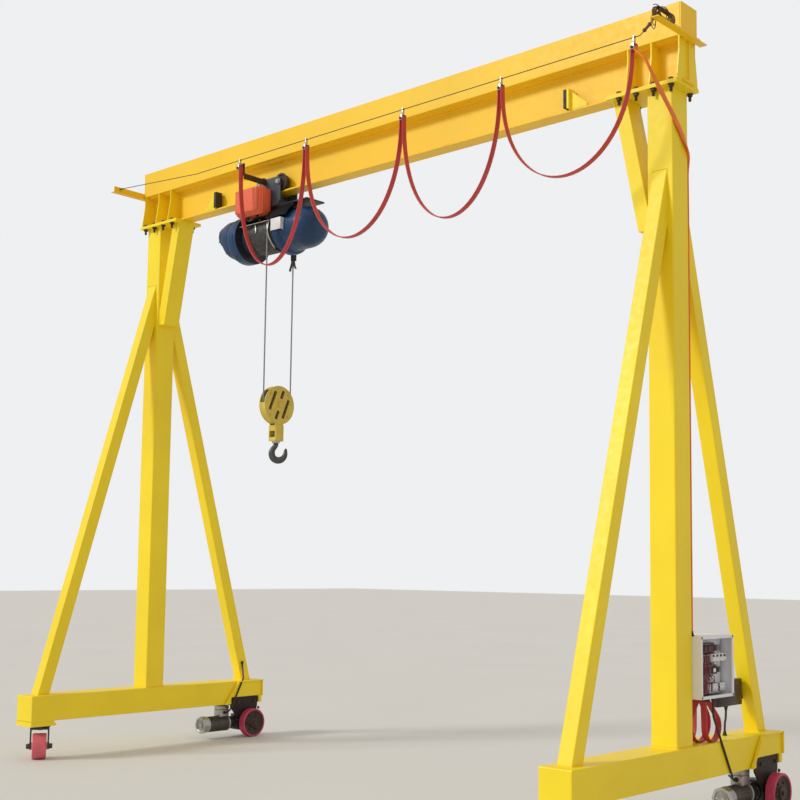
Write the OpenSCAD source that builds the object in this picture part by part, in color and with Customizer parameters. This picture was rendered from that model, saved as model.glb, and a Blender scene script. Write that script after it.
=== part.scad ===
// Electric gantry crane: a welded girder on two A-frame legs, a rope hoist on
// a trolley below the girder, driven wheels at one end and casters at the other.
// X runs along the girder, Y along the base beams, Z up from the floor.

/* [Overall] */
// Height from the floor to the top of the girder
total_height = 5000; // [4600:10:5400]
// Distance between the centres of the two columns
leg_spacing = 5128; // [4900:2:6000]
// Length of each base beam
base_length = 2350; // [2200:10:2800]

/* [Girder] */
// Girder length past each column centre
girder_overhang = 159; // [140:1:260]
// Width of the box section on top
box_width = 190; // [160:1:240]
// Height of the box section on top
box_height = 212; // [160:1:260]
// Plate thickness of the box section
box_wall = 8; // [5:1:12]
// Height of the I-beam that the trolley runs on
beam_height = 280; // [260:1:320]
// Width of the I-beam flanges
beam_width = 122; // [116:1:130]
// Thickness of the I-beam web
beam_web = 8.5; // [7:0.5:12]
// Thickness of the I-beam flanges
beam_flange = 13.7; // [10:0.1:16]

/* [Legs] */
// Side of the square columns
column_size = 180; // [150:1:200]
// Wall of the square columns
column_wall = 8; // [5:1:12]
// Side of the square raking braces
brace_size = 100; // [80:1:110]
// Wall of the raking braces and the knee braces
brace_wall = 6; // [4:1:8]
// Distance of the foot of each raking brace from the column centre
brace_foot = 1040; // [950:5:1060]
// Height at which the raking braces meet the column
brace_top = 3790; // [3500:10:4000]
// Width of the knee braces along the girder
knee_width = 96; // [80:1:120]
// Depth of the knee braces across the girder
knee_depth = 155; // [120:1:170]
// Height of the lower end of the knee braces
knee_foot = 3610; // [3500:10:3800]
// Lean of the knee braces from upright, in degrees
knee_lean = 11.6; // [8:0.1:13]
// Thickness of the plates between the legs and the girder
plate_thick = 12; // [8:1:20]
// Depth of those plates across the girder
plate_depth = 270; // [250:1:330]

/* [Base] */
// Width of the base beams
base_width = 218; // [200:1:240]
// Height of the base beams
base_height = 201; // [180:1:220]
// Wall of the base beams
base_wall = 8; // [5:1:12]
// Height of the base beam underside above the floor
base_clear = 296; // [290:1:320]
// Depth of the caster seat under the base beam
seat_depth = 38; // [30:1:44]
// Length of the caster seat
seat_length = 225; // [210:1:260]

/* [Wheels] */
// Diameter of the driven wheels
drive_dia = 250; // [220:1:260]
// Width of the driven wheels
drive_width = 66; // [50:1:70]
// Thickness of the tyre on the driven wheels
tyre_thick = 16; // [8:1:25]
// Diameter of the caster wheels
caster_dia = 200; // [170:1:204]
// Width of the caster wheels
caster_width = 108; // [80:1:112]
// Offset of the caster axle from its swivel
caster_trail = 48; // [30:1:60]
// Direction in which the caster axles point, from the girder, in degrees
caster_turn = 58; // [0:1:90]

/* [Drive motors] */
// Diameter of the motor body
motor_dia = 136; // [110:1:150]
// Length of the motor body
motor_length = 300; // [260:1:330]
// Number of cooling fins round the motor
motor_fins = 28; // [16:1:40]

/* [Trolley and hoist] */
// Place of the middle of the trolley along the girder
trolley_x = -1045; // [-1100:5:-1000]
// Diameter of the trolley wheels
trolley_wheel_dia = 130; // [110:1:140]
// Distance between the trolley axles
trolley_base = 220; // [210:1:240]
// Radius of the rope drum
drum_radius = 134; // [125:1:138]
// Radius of the hoist gearbox and motor housings
housing_radius = 195; // [185:1:200]
// Diameter of the rope
rope_dia = 12; // [8:1:14]
// Height of the sheave centre of the hook block
block_z = 2800; // [2700:1:3000]
// Radius of the cheeks of the hook block
cover_radius = 153; // [150:1:158]
// Direction in which the hook opens, from the girder, in degrees
hook_turn = 48; // [0:1:90]

/* [Festoon] */
// Distance of the cable run from the girder centre plane
festoon_y = 350; // [330:5:380]
// Drop of the wire from its eye bolts to its level stretch
wire_sag = 75; // [60:5:90]
// Width of the flat cable
cable_width = 42; // [30:1:50]
// Thickness of the flat cable
cable_thick = 8; // [6:1:10]

/* [Control box] */
// Width of the control box along the base beam
control_width = 395; // [360:5:410]
// Height of the control box
control_height = 372; // [340:1:400]
// Depth of the control box
control_depth = 200; // [180:5:240]
// Height of the bottom of the control box
control_z = 770; // [740:5:800]

/* [Hidden] */
$fn = 64;

// gap between faces of pieces that move past each other
face_gap = 0.3;
// radial clearance of a shaft in its bore
shaft_gap = 0.05;
// extra length of a cut past the face that it opens
cut = 1;

column_x = leg_spacing / 2;
girder_half = column_x + girder_overhang;
beam_top = total_height - box_height;
beam_bottom = beam_top - beam_height;
saddle_bottom = beam_bottom - plate_thick;
leg_top = saddle_bottom - plate_thick;
base_top = base_clear + base_height;
base_half = base_length / 2;
column_half = column_size / 2;
run_top = beam_bottom + beam_flange;

// knee brace edges: where it meets the plate, worked out from its lean
knee_rise = leg_top - knee_foot;
knee_shift = knee_rise * tan(knee_lean);
knee_inner_foot = column_x - column_half - 74;
knee_inner_top = knee_inner_foot - knee_shift;
plate_inner = knee_inner_top - 20;
plate_outer = girder_half - 13;

module at_both_legs() {
    for (side = [-1, 1])
        translate([side * column_x, 0, 0]) children();
}

module mirror_ends() {
    children();
    mirror([1, 0, 0]) children();
}

module block(low, high) {
    translate(low) cube(high - low);
}

module along_x(x0, x1, r) {
    translate([x0, 0, 0]) rotate([0, 90, 0]) cylinder(r = r, h = x1 - x0);
}

module along_y(y0, y1, r) {
    translate([0, y0, 0]) rotate([-90, 0, 0]) cylinder(r = r, h = y1 - y0);
}

// Skin over rings of points, each ring with as many points as the first
module skin(rings) {
    n = len(rings[0]);
    last = n * (len(rings) - 1);
    polyhedron([for (ring = rings, p = ring) p], [
        [for (c = [n - 1:-1:0]) c],
        [for (c = [0:n - 1]) last + c],
        for (i = [0:len(rings) - 2], c = [0:n - 1], half = [0, 1])
            let (a = n * i + c, b = n * i + (c + 1) % n)
            half == 0 ? [a, b, b + n] : [a, b + n, a + n]
    ], convexity = 6);
}

// Direction of a path at one of its points
function path_run(points, i) =
    points[min(i + 1, len(points) - 1)] - points[max(i - 1, 0)];

// Round bar through points; aside is a direction that no part of the path runs in
module tube(points, r, aside, sides = 16) {
    skin([for (i = [0:len(points) - 1])
        let (run = path_run(points, i), u = cross(run, aside) / norm(cross(run, aside)),
             v = cross(run, u) / norm(cross(run, u)))
        [for (k = [0:sides - 1])
            points[i] + r * (cos(360 * k / sides) * u - sin(360 * k / sides) * v)]
    ]);
}

// Path through corners, each inner one rounded to a bend of radius r
function rounded(corners, r, steps = 5) = [
    corners[0],
    for (i = [1:len(corners) - 2])
        let (u = corners[i] - corners[i - 1], v = corners[i + 1] - corners[i],
             a = u / norm(u), b = v / norm(v), turn = acos(a * b),
             aside = (b - a * (a * b)) / sin(turn),
             from = corners[i] - a * r * tan(turn / 2))
        for (k = [0:steps])
            from + r * ((1 - cos(turn * k / steps)) * aside + sin(turn * k / steps) * a),
    corners[len(corners) - 1]
];

// Girder

module girder_box() {
    color("gold") difference() {
        block([-girder_half + box_wall, -box_width / 2, beam_top],
              [girder_half - box_wall, box_width / 2, total_height]);
        block([-girder_half, -box_width / 2 + box_wall, beam_top + box_wall],
              [girder_half, box_width / 2 - box_wall, total_height - box_wall]);
    }
}

module girder_end_plates() {
    color("gold") mirror_ends()
        block([girder_half - box_wall, -box_width / 2, beam_top],
              [girder_half, box_width / 2, total_height]);
}

root_radius = 10;

module along_girder() {
    translate([-girder_half, 0, beam_bottom])
        rotate([90, 0, 90]) linear_extrude(2 * girder_half) children();
}

// Half of the web with the fillets that run into the flanges
module web_half_profile() {
    translate([0, beam_flange]) square([beam_web / 2, beam_height - 2 * beam_flange]);
    for (end = [0, 1])
        translate([beam_web / 2, end == 0 ? beam_flange : beam_height - beam_flange])
            mirror([0, end]) difference() {
                square(root_radius);
                translate([root_radius, root_radius]) circle(root_radius);
            }
}

module girder_web() {
    color("gold") along_girder() {
        web_half_profile();
        mirror([1, 0]) web_half_profile();
    }
}

module girder_flanges() {
    color("gold") along_girder() for (low = [0, beam_height - beam_flange])
        translate([-beam_width / 2, low]) square([beam_width, beam_flange]);
}

module saddle_plates() {
    color("gold") mirror_ends()
        block([plate_inner, -plate_depth / 2, saddle_bottom],
              [plate_outer, plate_depth / 2, beam_bottom]);
}

module leg_plates() {
    color("gold") mirror_ends()
        block([plate_inner, -plate_depth / 2, leg_top],
              [plate_outer, plate_depth / 2, saddle_bottom]);
}

rib_thick = 10;
rib_places = [girder_half - rib_thick - 13, column_x - 60, column_x - 230];

// A rib fills the I-beam side, then flares out to the saddle plate
module rib_profile() {
    polygon([
        [beam_web / 2, beam_flange], [beam_width / 2, beam_flange], [beam_width / 2, 0],
        [plate_depth / 2 - 15, 0], [plate_depth / 2 - 15, 25],
        [box_width / 2, beam_height * 0.7], [box_width / 2, beam_height],
        [beam_width / 2, beam_height], [beam_width / 2, beam_height - beam_flange],
        [beam_web / 2, beam_height - beam_flange]
    ]);
}

module saddle_ribs() {
    color("gold") mirror_ends()
        for (place = rib_places, side = [0, 1])
            translate([place, 0, beam_bottom]) mirror([0, side, 0])
                rotate([90, 0, 90]) linear_extrude(rib_thick) difference() {
                    rib_profile();
                    for (end = [0, 1])
                        translate([beam_web / 2, end == 0 ? beam_flange : beam_height - beam_flange])
                            mirror([0, end]) square(root_radius + 2);
                }
}

// Legs

module columns() {
    color("gold") at_both_legs() difference() {
        block([-column_half, -column_half, base_top], [column_half, column_half, leg_top]);
        block([column_wall - column_half, column_wall - column_half, base_top - cut],
              [column_half - column_wall, column_half - column_wall, leg_top + cut]);
    }
}

function knee_x(z) = knee_inner_foot - (z - knee_foot) * tan(knee_lean);

// Outline of a knee brace, shrunk by the wall for its hollow
module knee_profile(wall, low, high) {
    step = wall / cos(knee_lean);
    face = column_x - column_half + (wall > 0 ? cut : 0);
    width = knee_width / cos(knee_lean);
    polygon([
        [face, low], [knee_x(low) + step, low], [knee_x(high) + step, high],
        [knee_x(high) + width - step, high],
        [face, knee_foot + (knee_inner_foot + width - step - face) / tan(knee_lean)]
    ]);
}

module knee_braces() {
    color("gold") mirror_ends() rotate([90, 0, 0]) difference() {
        translate([0, 0, -knee_depth / 2]) linear_extrude(knee_depth)
            knee_profile(0, knee_foot, leg_top);
        translate([0, 0, brace_wall - knee_depth / 2]) linear_extrude(knee_depth - 2 * brace_wall)
            knee_profile(brace_wall, knee_foot + brace_wall, leg_top + cut);
    }
}

brace_lean = atan((brace_foot - column_half) / (brace_top - base_top));

// Outline of a raking brace between the base beam and the column face
module brace_profile(width, past) {
    foot = width / 2 / cos(brace_lean);
    head = width / 2 / sin(brace_lean);
    down = past / tan(brace_lean);
    side = past * tan(brace_lean);
    polygon([
        [brace_foot - foot + side, base_top - past], [brace_foot + foot + side, base_top - past],
        [column_half - past, brace_top + head + down], [column_half - past, brace_top - head + down]
    ]);
}

module side_braces() {
    color("gold") at_both_legs() for (turn = [0, 180])
        rotate([90, 0, 90 + turn]) difference() {
            translate([0, 0, -brace_size / 2]) linear_extrude(brace_size)
                brace_profile(brace_size, 0);
            translate([0, 0, brace_wall - brace_size / 2])
                linear_extrude(brace_size - 2 * brace_wall)
                    brace_profile(brace_size - 2 * brace_wall, cut);
        }
}

// Base beams

notch_from = base_half - 355;
notch_to = base_half - 35;
notch_height = 60;
end_plate_thick = 12;
end_plate_foot = notch_from - 70;
end_plate_head = notch_from + 80;
drive_y = base_half - 149;

// Plate that stiffens the driven end, cut out over the wheel like the beam below it
module end_plate() {
    translate([base_width / 2, 0, 0]) rotate([90, 0, 90]) linear_extrude(end_plate_thick)
        polygon([
            [end_plate_foot, base_clear], [notch_from, base_clear],
            [notch_from, base_clear + notch_height], [notch_to, base_clear + notch_height],
            [notch_to, base_clear], [base_half, base_clear], [base_half, base_top],
            [end_plate_head, base_top]
        ]);
}

module base_beams() {
    color("gold") at_both_legs() end_plate();
    color("gold") at_both_legs() difference() {
        block([-base_width / 2, -base_half, base_clear], [base_width / 2, base_half, base_top]);
        block([base_wall - base_width / 2, base_wall - base_half, base_clear + base_wall],
              [base_width / 2 - base_wall, base_half - base_wall, base_top - base_wall]);
        block([0, notch_from, base_clear - cut],
              [base_width / 2 + cut, notch_to, base_clear + notch_height]);
    }
}

seat_bottom = base_clear - seat_depth;
seat_plate = 10;

// The seat is a tray under the near end of the base beam with a slanted inner end
module caster_seats() {
    color("gold") at_both_legs() difference() {
        union() {
            rotate([90, 0, 90]) translate([0, 0, -base_width / 2]) linear_extrude(base_width)
                polygon([
                    [-base_half, seat_bottom], [seat_length - base_half, seat_bottom],
                    [seat_length - base_half, seat_bottom + seat_plate],
                    [seat_length - base_half - 25, base_clear], [-base_half, base_clear]
                ]);
        }
        block([base_wall - base_width / 2, base_wall - base_half, seat_bottom + seat_plate],
              [base_width / 2 - base_wall, seat_length - base_half - 40, base_clear + cut]);
    }
}

// Casters

caster_y = -base_half + 145;
caster_plate_thick = 8;
race_height = 12;
crown_height = 12;
race_bottom = seat_bottom - caster_plate_thick - race_height;
crown_top = race_bottom - face_gap;
crown_bottom = crown_top - crown_height;
kingpin_radius = 12;
fork_gap = 7;
fork_plate = 13;
fork_inner = caster_width / 2 + fork_gap;
fork_outer = fork_inner + fork_plate;
axle_radius = 12;
axle_z = caster_dia / 2;

module caster_plates() {
    color("dimgray") at_both_legs() translate([0, caster_y, 0]) rotate([0, 0, caster_turn]) {
        block([-80, -60, seat_bottom - caster_plate_thick], [80, 60, seat_bottom]);
        translate([0, 0, race_bottom]) cylinder(r = 52, h = race_height);
        translate([0, 0, crown_bottom - 6 - face_gap])
            cylinder(r = kingpin_radius, h = race_height + crown_height + 6);
        translate([0, 0, crown_bottom - 6 - face_gap]) cylinder(r = 20, h = 6);
    }
}

module at_caster(side) {
    translate([side * column_x, caster_y, 0]) rotate([0, 0, caster_turn]) children();
}

fork_top_width = 80;
fork_foot_width = 52;

// Fork leg outline, from the crown down to the axle
module fork_leg_profile() {
    hull() {
        translate([-fork_top_width / 2, crown_bottom]) square([fork_top_width, crown_height]);
        translate([-caster_trail, axle_z]) circle(r = fork_foot_width / 2, $fn = 32);
    }
}

module caster_fork() {
    difference() {
        union() {
            block([-fork_outer, -50, crown_bottom], [fork_outer, 50, crown_top]);
            for (side = [-1, 1])
                translate([side > 0 ? fork_inner : -fork_outer, 0, 0])
                    rotate([90, 0, 90]) linear_extrude(fork_plate) fork_leg_profile();
        }
        translate([0, 0, crown_bottom - cut])
            cylinder(r = kingpin_radius + shaft_gap, h = crown_height + 2 * cut);
    }
    translate([0, -caster_trail, axle_z]) {
        along_x(-fork_outer, fork_outer, axle_radius);
        along_x(-fork_outer - 26, -fork_outer, 19);
        along_x(fork_outer, fork_outer + 26, 19);
    }
}

module caster_wheel() {
    translate([0, -caster_trail, axle_z]) difference() {
        union() {
            rotate([0, 90, 0]) rotate_extrude($fn = 96) polygon([
                [0, -fork_inner + 1], [30, -fork_inner + 1], [30, -caster_width / 2 + 10],
                [70, -caster_width / 2 + 10], [76, -caster_width / 2],
                [caster_dia / 2 - 6, -caster_width / 2], [caster_dia / 2, -caster_width / 2 + 6],
                [caster_dia / 2, caster_width / 2 - 6], [caster_dia / 2 - 6, caster_width / 2],
                [76, caster_width / 2], [70, caster_width / 2 - 10],
                [30, caster_width / 2 - 10], [30, fork_inner - 1], [0, fork_inner - 1]
            ]);
        }
        along_x(-fork_inner, fork_inner, axle_radius + shaft_gap);
    }
}

module caster_fork_left() { color("dimgray") at_caster(-1) caster_fork(); }
module caster_fork_right() { color("dimgray") at_caster(1) caster_fork(); }
module caster_wheel_left() { color("crimson") at_caster(-1) caster_wheel(); }
module caster_wheel_right() { color("crimson") at_caster(1) caster_wheel(); }

// Drive units at the far end of each base beam

drive_z = drive_dia / 2;
bracket_x = 95;
bracket_thick = 12;
wheel_inner = bracket_x + bracket_thick + 24;
drive_axle_radius = 20;

module at_drive(side) {
    translate([side * column_x, drive_y, drive_z]) children();
}

module drive_brackets() {
    color("black") for (side = [-1, 1]) at_drive(side) {
        top = base_clear + notch_height - drive_z - face_gap;
        foot = base_clear - drive_z;
        difference() {
            translate([bracket_x, 0, 0]) rotate([90, 0, 90]) linear_extrude(bracket_thick)
                hull() {
                    translate([notch_from - drive_y + 5, foot - 30])
                        square([notch_to - notch_from - 10, top - foot + 30]);
                    circle(r = 62, $fn = 32);
                }
            along_x(bracket_x - cut, bracket_x + bracket_thick + cut, drive_axle_radius + 8);
        }
        block([-90, notch_from - drive_y + 15, foot - 12], [bracket_x, notch_to - drive_y - 15, foot]);
    }
}

motor_x = 20;
gear_half = 62;
motor_back = -gear_half - 114;
terminal_half = 42;
terminal_length = 102;
terminal_y = [motor_back - 8 - terminal_length, motor_back - 8];
terminal_top = base_clear - drive_z - 14;

module drive_gearboxes() {
    color("dimgray") for (side = [-1, 1]) at_drive(side) difference() {
        union() {
            block([motor_x - 75, -gear_half - 8, -70], [bracket_x, gear_half, 68]);
            translate([motor_x, 0, 0]) along_y(motor_back, -gear_half - 8, 58);
            along_x(bracket_x, bracket_x + bracket_thick + 14, drive_axle_radius + 7.7);
        }
        along_x(bracket_x - 60, wheel_inner, drive_axle_radius + shaft_gap);
    }
}

// Finned body, flange towards the gearbox, fan cover at the free end, terminal box on top
module drive_motors() {
    color("silver") for (side = [-1, 1]) at_drive(side) translate([motor_x, 0, 0]) {
        along_y(motor_back - 14, motor_back, 70);
        along_y(motor_back - motor_length + 60, motor_back - 14, motor_dia / 2 - 10);
        for (k = [0:motor_fins - 1]) rotate([0, k * 360 / motor_fins, 0])
            block([-1.5, motor_back - motor_length + 62, motor_dia / 2 - 12],
                  [1.5, motor_back - 22, motor_dia / 2]);
        difference() {
            along_y(motor_back - motor_length, motor_back - motor_length + 64, motor_dia / 2 + 6);
            along_y(motor_back - motor_length - cut, motor_back - motor_length + 10, motor_dia / 2 - 14);
        }
        along_y(motor_back - motor_length + 4, motor_back - motor_length + 12, 26);
        block([-terminal_half, terminal_y[0], motor_dia / 2 - 14],
              [terminal_half, terminal_y[1], terminal_top]);
    }
}

module drive_hub() {
    difference() {
        union() {
            along_x(wheel_inner, wheel_inner + drive_width, 44);
            along_x(wheel_inner + 8, wheel_inner + drive_width - 8, drive_dia / 2 - tyre_thick);
            along_x(bracket_x - 58, wheel_inner, drive_axle_radius);
        }
    }
}

module drive_tyre() {
    rotate([0, 90, 0]) rotate_extrude($fn = 96) polygon([
        [drive_dia / 2 - tyre_thick, wheel_inner + 2], [drive_dia / 2 - 4, wheel_inner],
        [drive_dia / 2, wheel_inner + 4], [drive_dia / 2, wheel_inner + drive_width - 4],
        [drive_dia / 2 - 4, wheel_inner + drive_width],
        [drive_dia / 2 - tyre_thick, wheel_inner + drive_width - 2]
    ]);
}

module drive_hub_left() { color("saddlebrown") at_drive(-1) drive_hub(); }
module drive_hub_right() { color("saddlebrown") at_drive(1) drive_hub(); }
module drive_tyre_left() { color("crimson") at_drive(-1) drive_tyre(); }
module drive_tyre_right() { color("crimson") at_drive(1) drive_tyre(); }

// Stops that end the trolley travel, on both sides of the web

stop_left = 809 - column_x;
stop_right = column_x - 701;
stop_z = beam_bottom + 90;
stop_half = 60;
stop_foot = run_top - stop_z;
stop_thick = 16;
stop_reach = beam_width / 2 + 25;
gusset_length = 143;
gusset_thick = 10;
pad_thick = 28;
pad_inner = 20;

module at_stops() {
    for (end = [[stop_left, 0], [stop_right, 1]], side = [0, 1])
        translate([end[0], 0, stop_z]) mirror([end[1], 0, 0]) mirror([0, side, 0]) children();
}

// Upright plate on the flange, with a gusset behind it along the web
module end_stops() {
    color("gold") at_stops() {
        block([-stop_thick, beam_web / 2 + root_radius, stop_foot], [0, beam_width / 2, stop_half]);
        block([-stop_thick, beam_width / 2, stop_foot + 4], [0, stop_reach, stop_half]);
        translate([0, beam_width / 2 - gusset_thick, 0]) rotate([90, 0, 0])
            mirror([0, 0, 1]) linear_extrude(gusset_thick) polygon([
                [-stop_thick, stop_foot], [-gusset_length, stop_foot],
                [-gusset_length, stop_foot + 20], [-stop_thick, stop_half - 10]
            ]);
    }
}

module buffers() {
    color("black") at_stops()
        block([0, pad_inner, stop_foot + 10], [pad_thick, stop_reach - 2, stop_half]);
}

// Arms across the girder ends that carry the taut wire

arm_leg = 50;
arm_thick = 6;
arm_z = beam_top - 15;

wire_radius = 3;
eye_bolt_radius = 6;
eye_x = girder_half - 33;
wire_z = arm_z + 32;
run_z = wire_z - wire_sag;
run_from = 914 - column_x;
run_to = column_x + 26;

// Angle bar: one leg upright against the girder end, one lying flat below it
module wire_arm(reach) {
    difference() {
        block([girder_half, -reach, arm_z], [girder_half + arm_thick, 130, arm_z + arm_leg]);
        translate([0, -festoon_y, wire_z])
            along_x(girder_half - cut, girder_half + arm_thick + cut, eye_bolt_radius + shaft_gap);
    }
    block([girder_half, -reach, arm_z], [girder_half + arm_leg, 130, arm_z + arm_thick]);
}

module wire_arms() {
    color("gold") {
        wire_arm(festoon_y + 90);
        mirror([1, 0, 0]) wire_arm(festoon_y + 60);
    }
}

// Bolt through the arm, with its nut outside, that holds one end of the wire
module eye_bolt() {
    nut_from = girder_half + arm_thick + face_gap;
    translate([0, -festoon_y, wire_z]) {
        along_x(eye_x - 8, nut_from + 12, eye_bolt_radius);
        along_x(nut_from, nut_from + 8, 10);
    }
}

module festoon_wire() {
    color("dimgray") {
        tube([
            for (p = [[-eye_x, wire_z], [run_from, run_z], [run_to, run_z], [eye_x, wire_z]])
                [p[0], -festoon_y, p[1]]
        ], wire_radius, [0, 1, 0]);
        mirror_ends() eye_bolt();
    }
}

tensioner_length = 44;

module wire_tensioner() {
    rise = [eye_x - run_to, wire_sag];
    middle = [run_to, run_z] + rise / 2;
    color("saddlebrown") translate([middle[0], -festoon_y, middle[1]])
        rotate([0, 90 - atan2(rise[1], rise[0]), 0]) difference() {
            union() {
                cylinder(r = 9, h = tensioner_length, center = true);
                for (end = [-1, 1])
                    translate([0, 0, end * tensioner_length / 2]) sphere(r = 13, $fn = 32);
            }
            cylinder(r = wire_radius + shaft_gap, h = 2 * tensioner_length, center = true);
        }
}

// Spare end of the wire, coiled and laid in the right arm around the eye bolt's nut
coil_turns = 4.5;
coil_pitch = 7.5;
coil_steps = 16;
coil_bend = 28;
coil_half = 77;
coil_middle = 8 - festoon_y;
coil_x = girder_half + arm_thick + wire_radius + face_gap;
coil_z = arm_z + arm_thick + coil_bend + wire_radius + face_gap;

module spare_coil() {
    color("saddlebrown") tube([
        for (k = [0:coil_turns * coil_steps])
            let (turn = 360 * k / coil_steps,
                 side = cos(turn) > 0.1 ? 1 : cos(turn) < -0.1 ? -1 : 0)
            [coil_x + coil_pitch * k / coil_steps,
             coil_middle + side * coil_half + coil_bend * cos(turn),
             coil_z + coil_bend * sin(turn)]
    ], wire_radius, [1, 0, 0], 8);
}

// Flat cable hung in loops from clamps that slide on the wire

tow_x = trolley_x - 60;
end_clamp_x = column_x - 16;
clamp_share = [0.2094, 0.4804, 0.7205];
clamp_x = [for (share = clamp_share) tow_x + share * (end_clamp_x - tow_x)];
hang_z = run_z - 60;
cable_seat = 12;
clamp_half = 24;
clamp_neck = 10;
clamp_jaw_rise = 9;
loop_depth = [840, 770, 790, 695];
loop_points = [for (k = [0:24]) k / 24];

// A loop between two hanging points: straight sides that round off at the bottom
function loop_route(x0, x1, low) = [
    for (t = loop_points) [
        x0 + (x1 - x0) * (0.5 - 0.5 * cos(180 * t)),
        -festoon_y,
        hang_z - (hang_z - low) * pow(sin(180 * t), 0.9)
    ]
];

// A clamp hangs from the wire by its bored neck and grips the cable ends beside its jaw
module clamp_body() {
    jaw = cable_seat - cable_thick / 2 - face_gap;
    bar = hang_z + face_gap;
    difference() {
        union() {
            block([-jaw, -festoon_y - clamp_half, hang_z - 22],
                  [jaw, clamp_half - festoon_y, hang_z + clamp_jaw_rise]);
            block([-jaw, -festoon_y - clamp_neck, hang_z],
                  [jaw, clamp_neck - festoon_y, run_z + 10]);
            block([-26, -festoon_y - clamp_half, bar], [26, clamp_half - festoon_y, bar + 6]);
        }
        translate([0, -festoon_y, run_z]) along_x(-40, 40, wire_radius + 0.1);
    }
}

module tow_clamp() { color("silver") translate([tow_x, 0, 0]) clamp_body(); }
module cable_clamp_1() { color("silver") translate([clamp_x[0], 0, 0]) clamp_body(); }
module cable_clamp_2() { color("silver") translate([clamp_x[1], 0, 0]) clamp_body(); }
module cable_clamp_3() { color("silver") translate([clamp_x[2], 0, 0]) clamp_body(); }
module end_clamp() { color("silver") translate([end_clamp_x, 0, 0]) clamp_body(); }

module festoon_cable() {
    ends = [tow_x, clamp_x[0], clamp_x[1], clamp_x[2], end_clamp_x];
    color("crimson") for (k = [0:3])
        ribbon(loop_route(ends[k] + cable_seat, ends[k + 1] - cable_seat, hang_z - loop_depth[k]),
               [for (t = loop_points) across]);
}

// Cable from the end clamp round the column, down its far side to the control box

drop_face = column_x + column_half + cable_thick / 2 + face_gap;
drop_back = column_half + cable_thick / 2 + face_gap;
drop_x = column_x + brace_size / 2 + cable_width / 2 + 1;
drop_points = [
    [end_clamp_x + cable_seat, -festoon_y, hang_z],
    [end_clamp_x + cable_seat, -festoon_y, hang_z - 22],
    [column_x + 26, -festoon_y, hang_z - 54], [column_x + 61, 1 - festoon_y, hang_z - 96],
    [column_x + 91, 10 - festoon_y, hang_z - 165], [drop_face + 6, -283, hang_z - 232],
    [drop_face + 6, -189, hang_z - 308], [drop_face + 6, -94, hang_z - 384],
    [drop_face + 6, -10, hang_z - 460], [drop_face + 4, 60, hang_z - 540],
    [drop_face - 20, drop_back + 8, hang_z - 620], [drop_x, drop_back, hang_z - 700],
    [drop_x, drop_back, hang_z - 860],
    [drop_x, drop_back, control_z + control_height + face_gap]
];
across = [0, 1, 0];
along = [-1, 0, 0];
drop_widths = [
    across, across, across, across, across, across, across, across, across,
    [-0.4, 0.9, 0], [-0.9, 0.4, 0], along, along, along
];

// Flat ribbon through points, each with the direction of its width
module ribbon(points, widths) {
    skin([for (i = [0:len(points) - 1])
        let (run = path_run(points, i), flat = widths[i] - run * (widths[i] * run) / (run * run),
             wide = flat / norm(flat) * cable_width / 2,
             thick = cross(run, wide) / norm(cross(run, wide)) * cable_thick / 2)
        [for (c = [[1, -1], [1, 1], [-1, 1], [-1, -1]]) points[i] + c[0] * thick + c[1] * wide]
    ]);
}

module cable_drop() {
    color("crimson") ribbon(drop_points, drop_widths);
}

// Spare length of the flat cable, looped between the control box and the base beam
bundle_loops = [[-40, 200, 90], [4, 272, 112], [48, 346, 90]];
bundle_top_y = 272;
bundle_top_radius = 22;

module bundle_outline(loop, wall) {
    hull() {
        translate([loop[1], base_top + face_gap + loop[2]]) circle(r = loop[2] - wall);
        translate([bundle_top_y, control_z - face_gap - bundle_top_radius])
            circle(r = bundle_top_radius - wall);
    }
}

module cable_bundle() {
    color("crimson") for (loop = bundle_loops)
        translate([column_x + loop[0], 0, 0]) rotate([90, 0, 90]) linear_extrude(cable_width)
            difference() {
                bundle_outline(loop, 0);
                bundle_outline(loop, cable_thick);
            }
}

// Control box on the far side of the right column, open to the front

control_front = column_x + 150;
control_back = control_front - control_depth;
control_near = column_half;
control_wall = 3;

module control_box() {
    color("lightgray") difference() {
        block([control_back, control_near, control_z],
              [control_front, control_near + control_width, control_z + control_height]);
        block([control_back + control_wall, control_near + control_wall, control_z + control_wall],
              [control_front + cut, control_near + control_width - control_wall,
               control_z + control_height - control_wall]);
    }
}

module contactors() {
    back = control_back + control_wall;
    color("maroon") translate([back, control_near, control_z]) {
        block([0, 30, 30], [6, control_width - 30, control_height - 30]);
        block([6, 45, 225], [86, 200, 305]);
        block([6, 210, 235], [76, 350, 275]);
        block([6, 45, 120], [70, 340, 170]);
        block([6, 45, 40], [50, 340, 80]);
    }
}

// Edge of the far raking brace that faces the column, at a height
function brace_edge(z) = brace_foot - brace_size / 2 / cos(brace_lean) - (z - base_top) * tan(brace_lean);

receiver_x = [column_x - 50, column_x];
receiver_y = [560, 872];
receiver_z = [680, 845];

module receiver_box() {
    low = receiver_z[0] + 30;
    high = receiver_z[1] - 30;
    color("black") {
        block([receiver_x[0], receiver_y[0], receiver_z[0]], [receiver_x[1], receiver_y[1], receiver_z[1]]);
        translate([receiver_x[0] + 20, 0, 0]) rotate([90, 0, 90]) linear_extrude(6) polygon([
            [receiver_y[1], low], [brace_edge(low) - face_gap, low],
            [brace_edge(high) - face_gap, high], [receiver_y[1], high]
        ]);
    }
}

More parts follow.
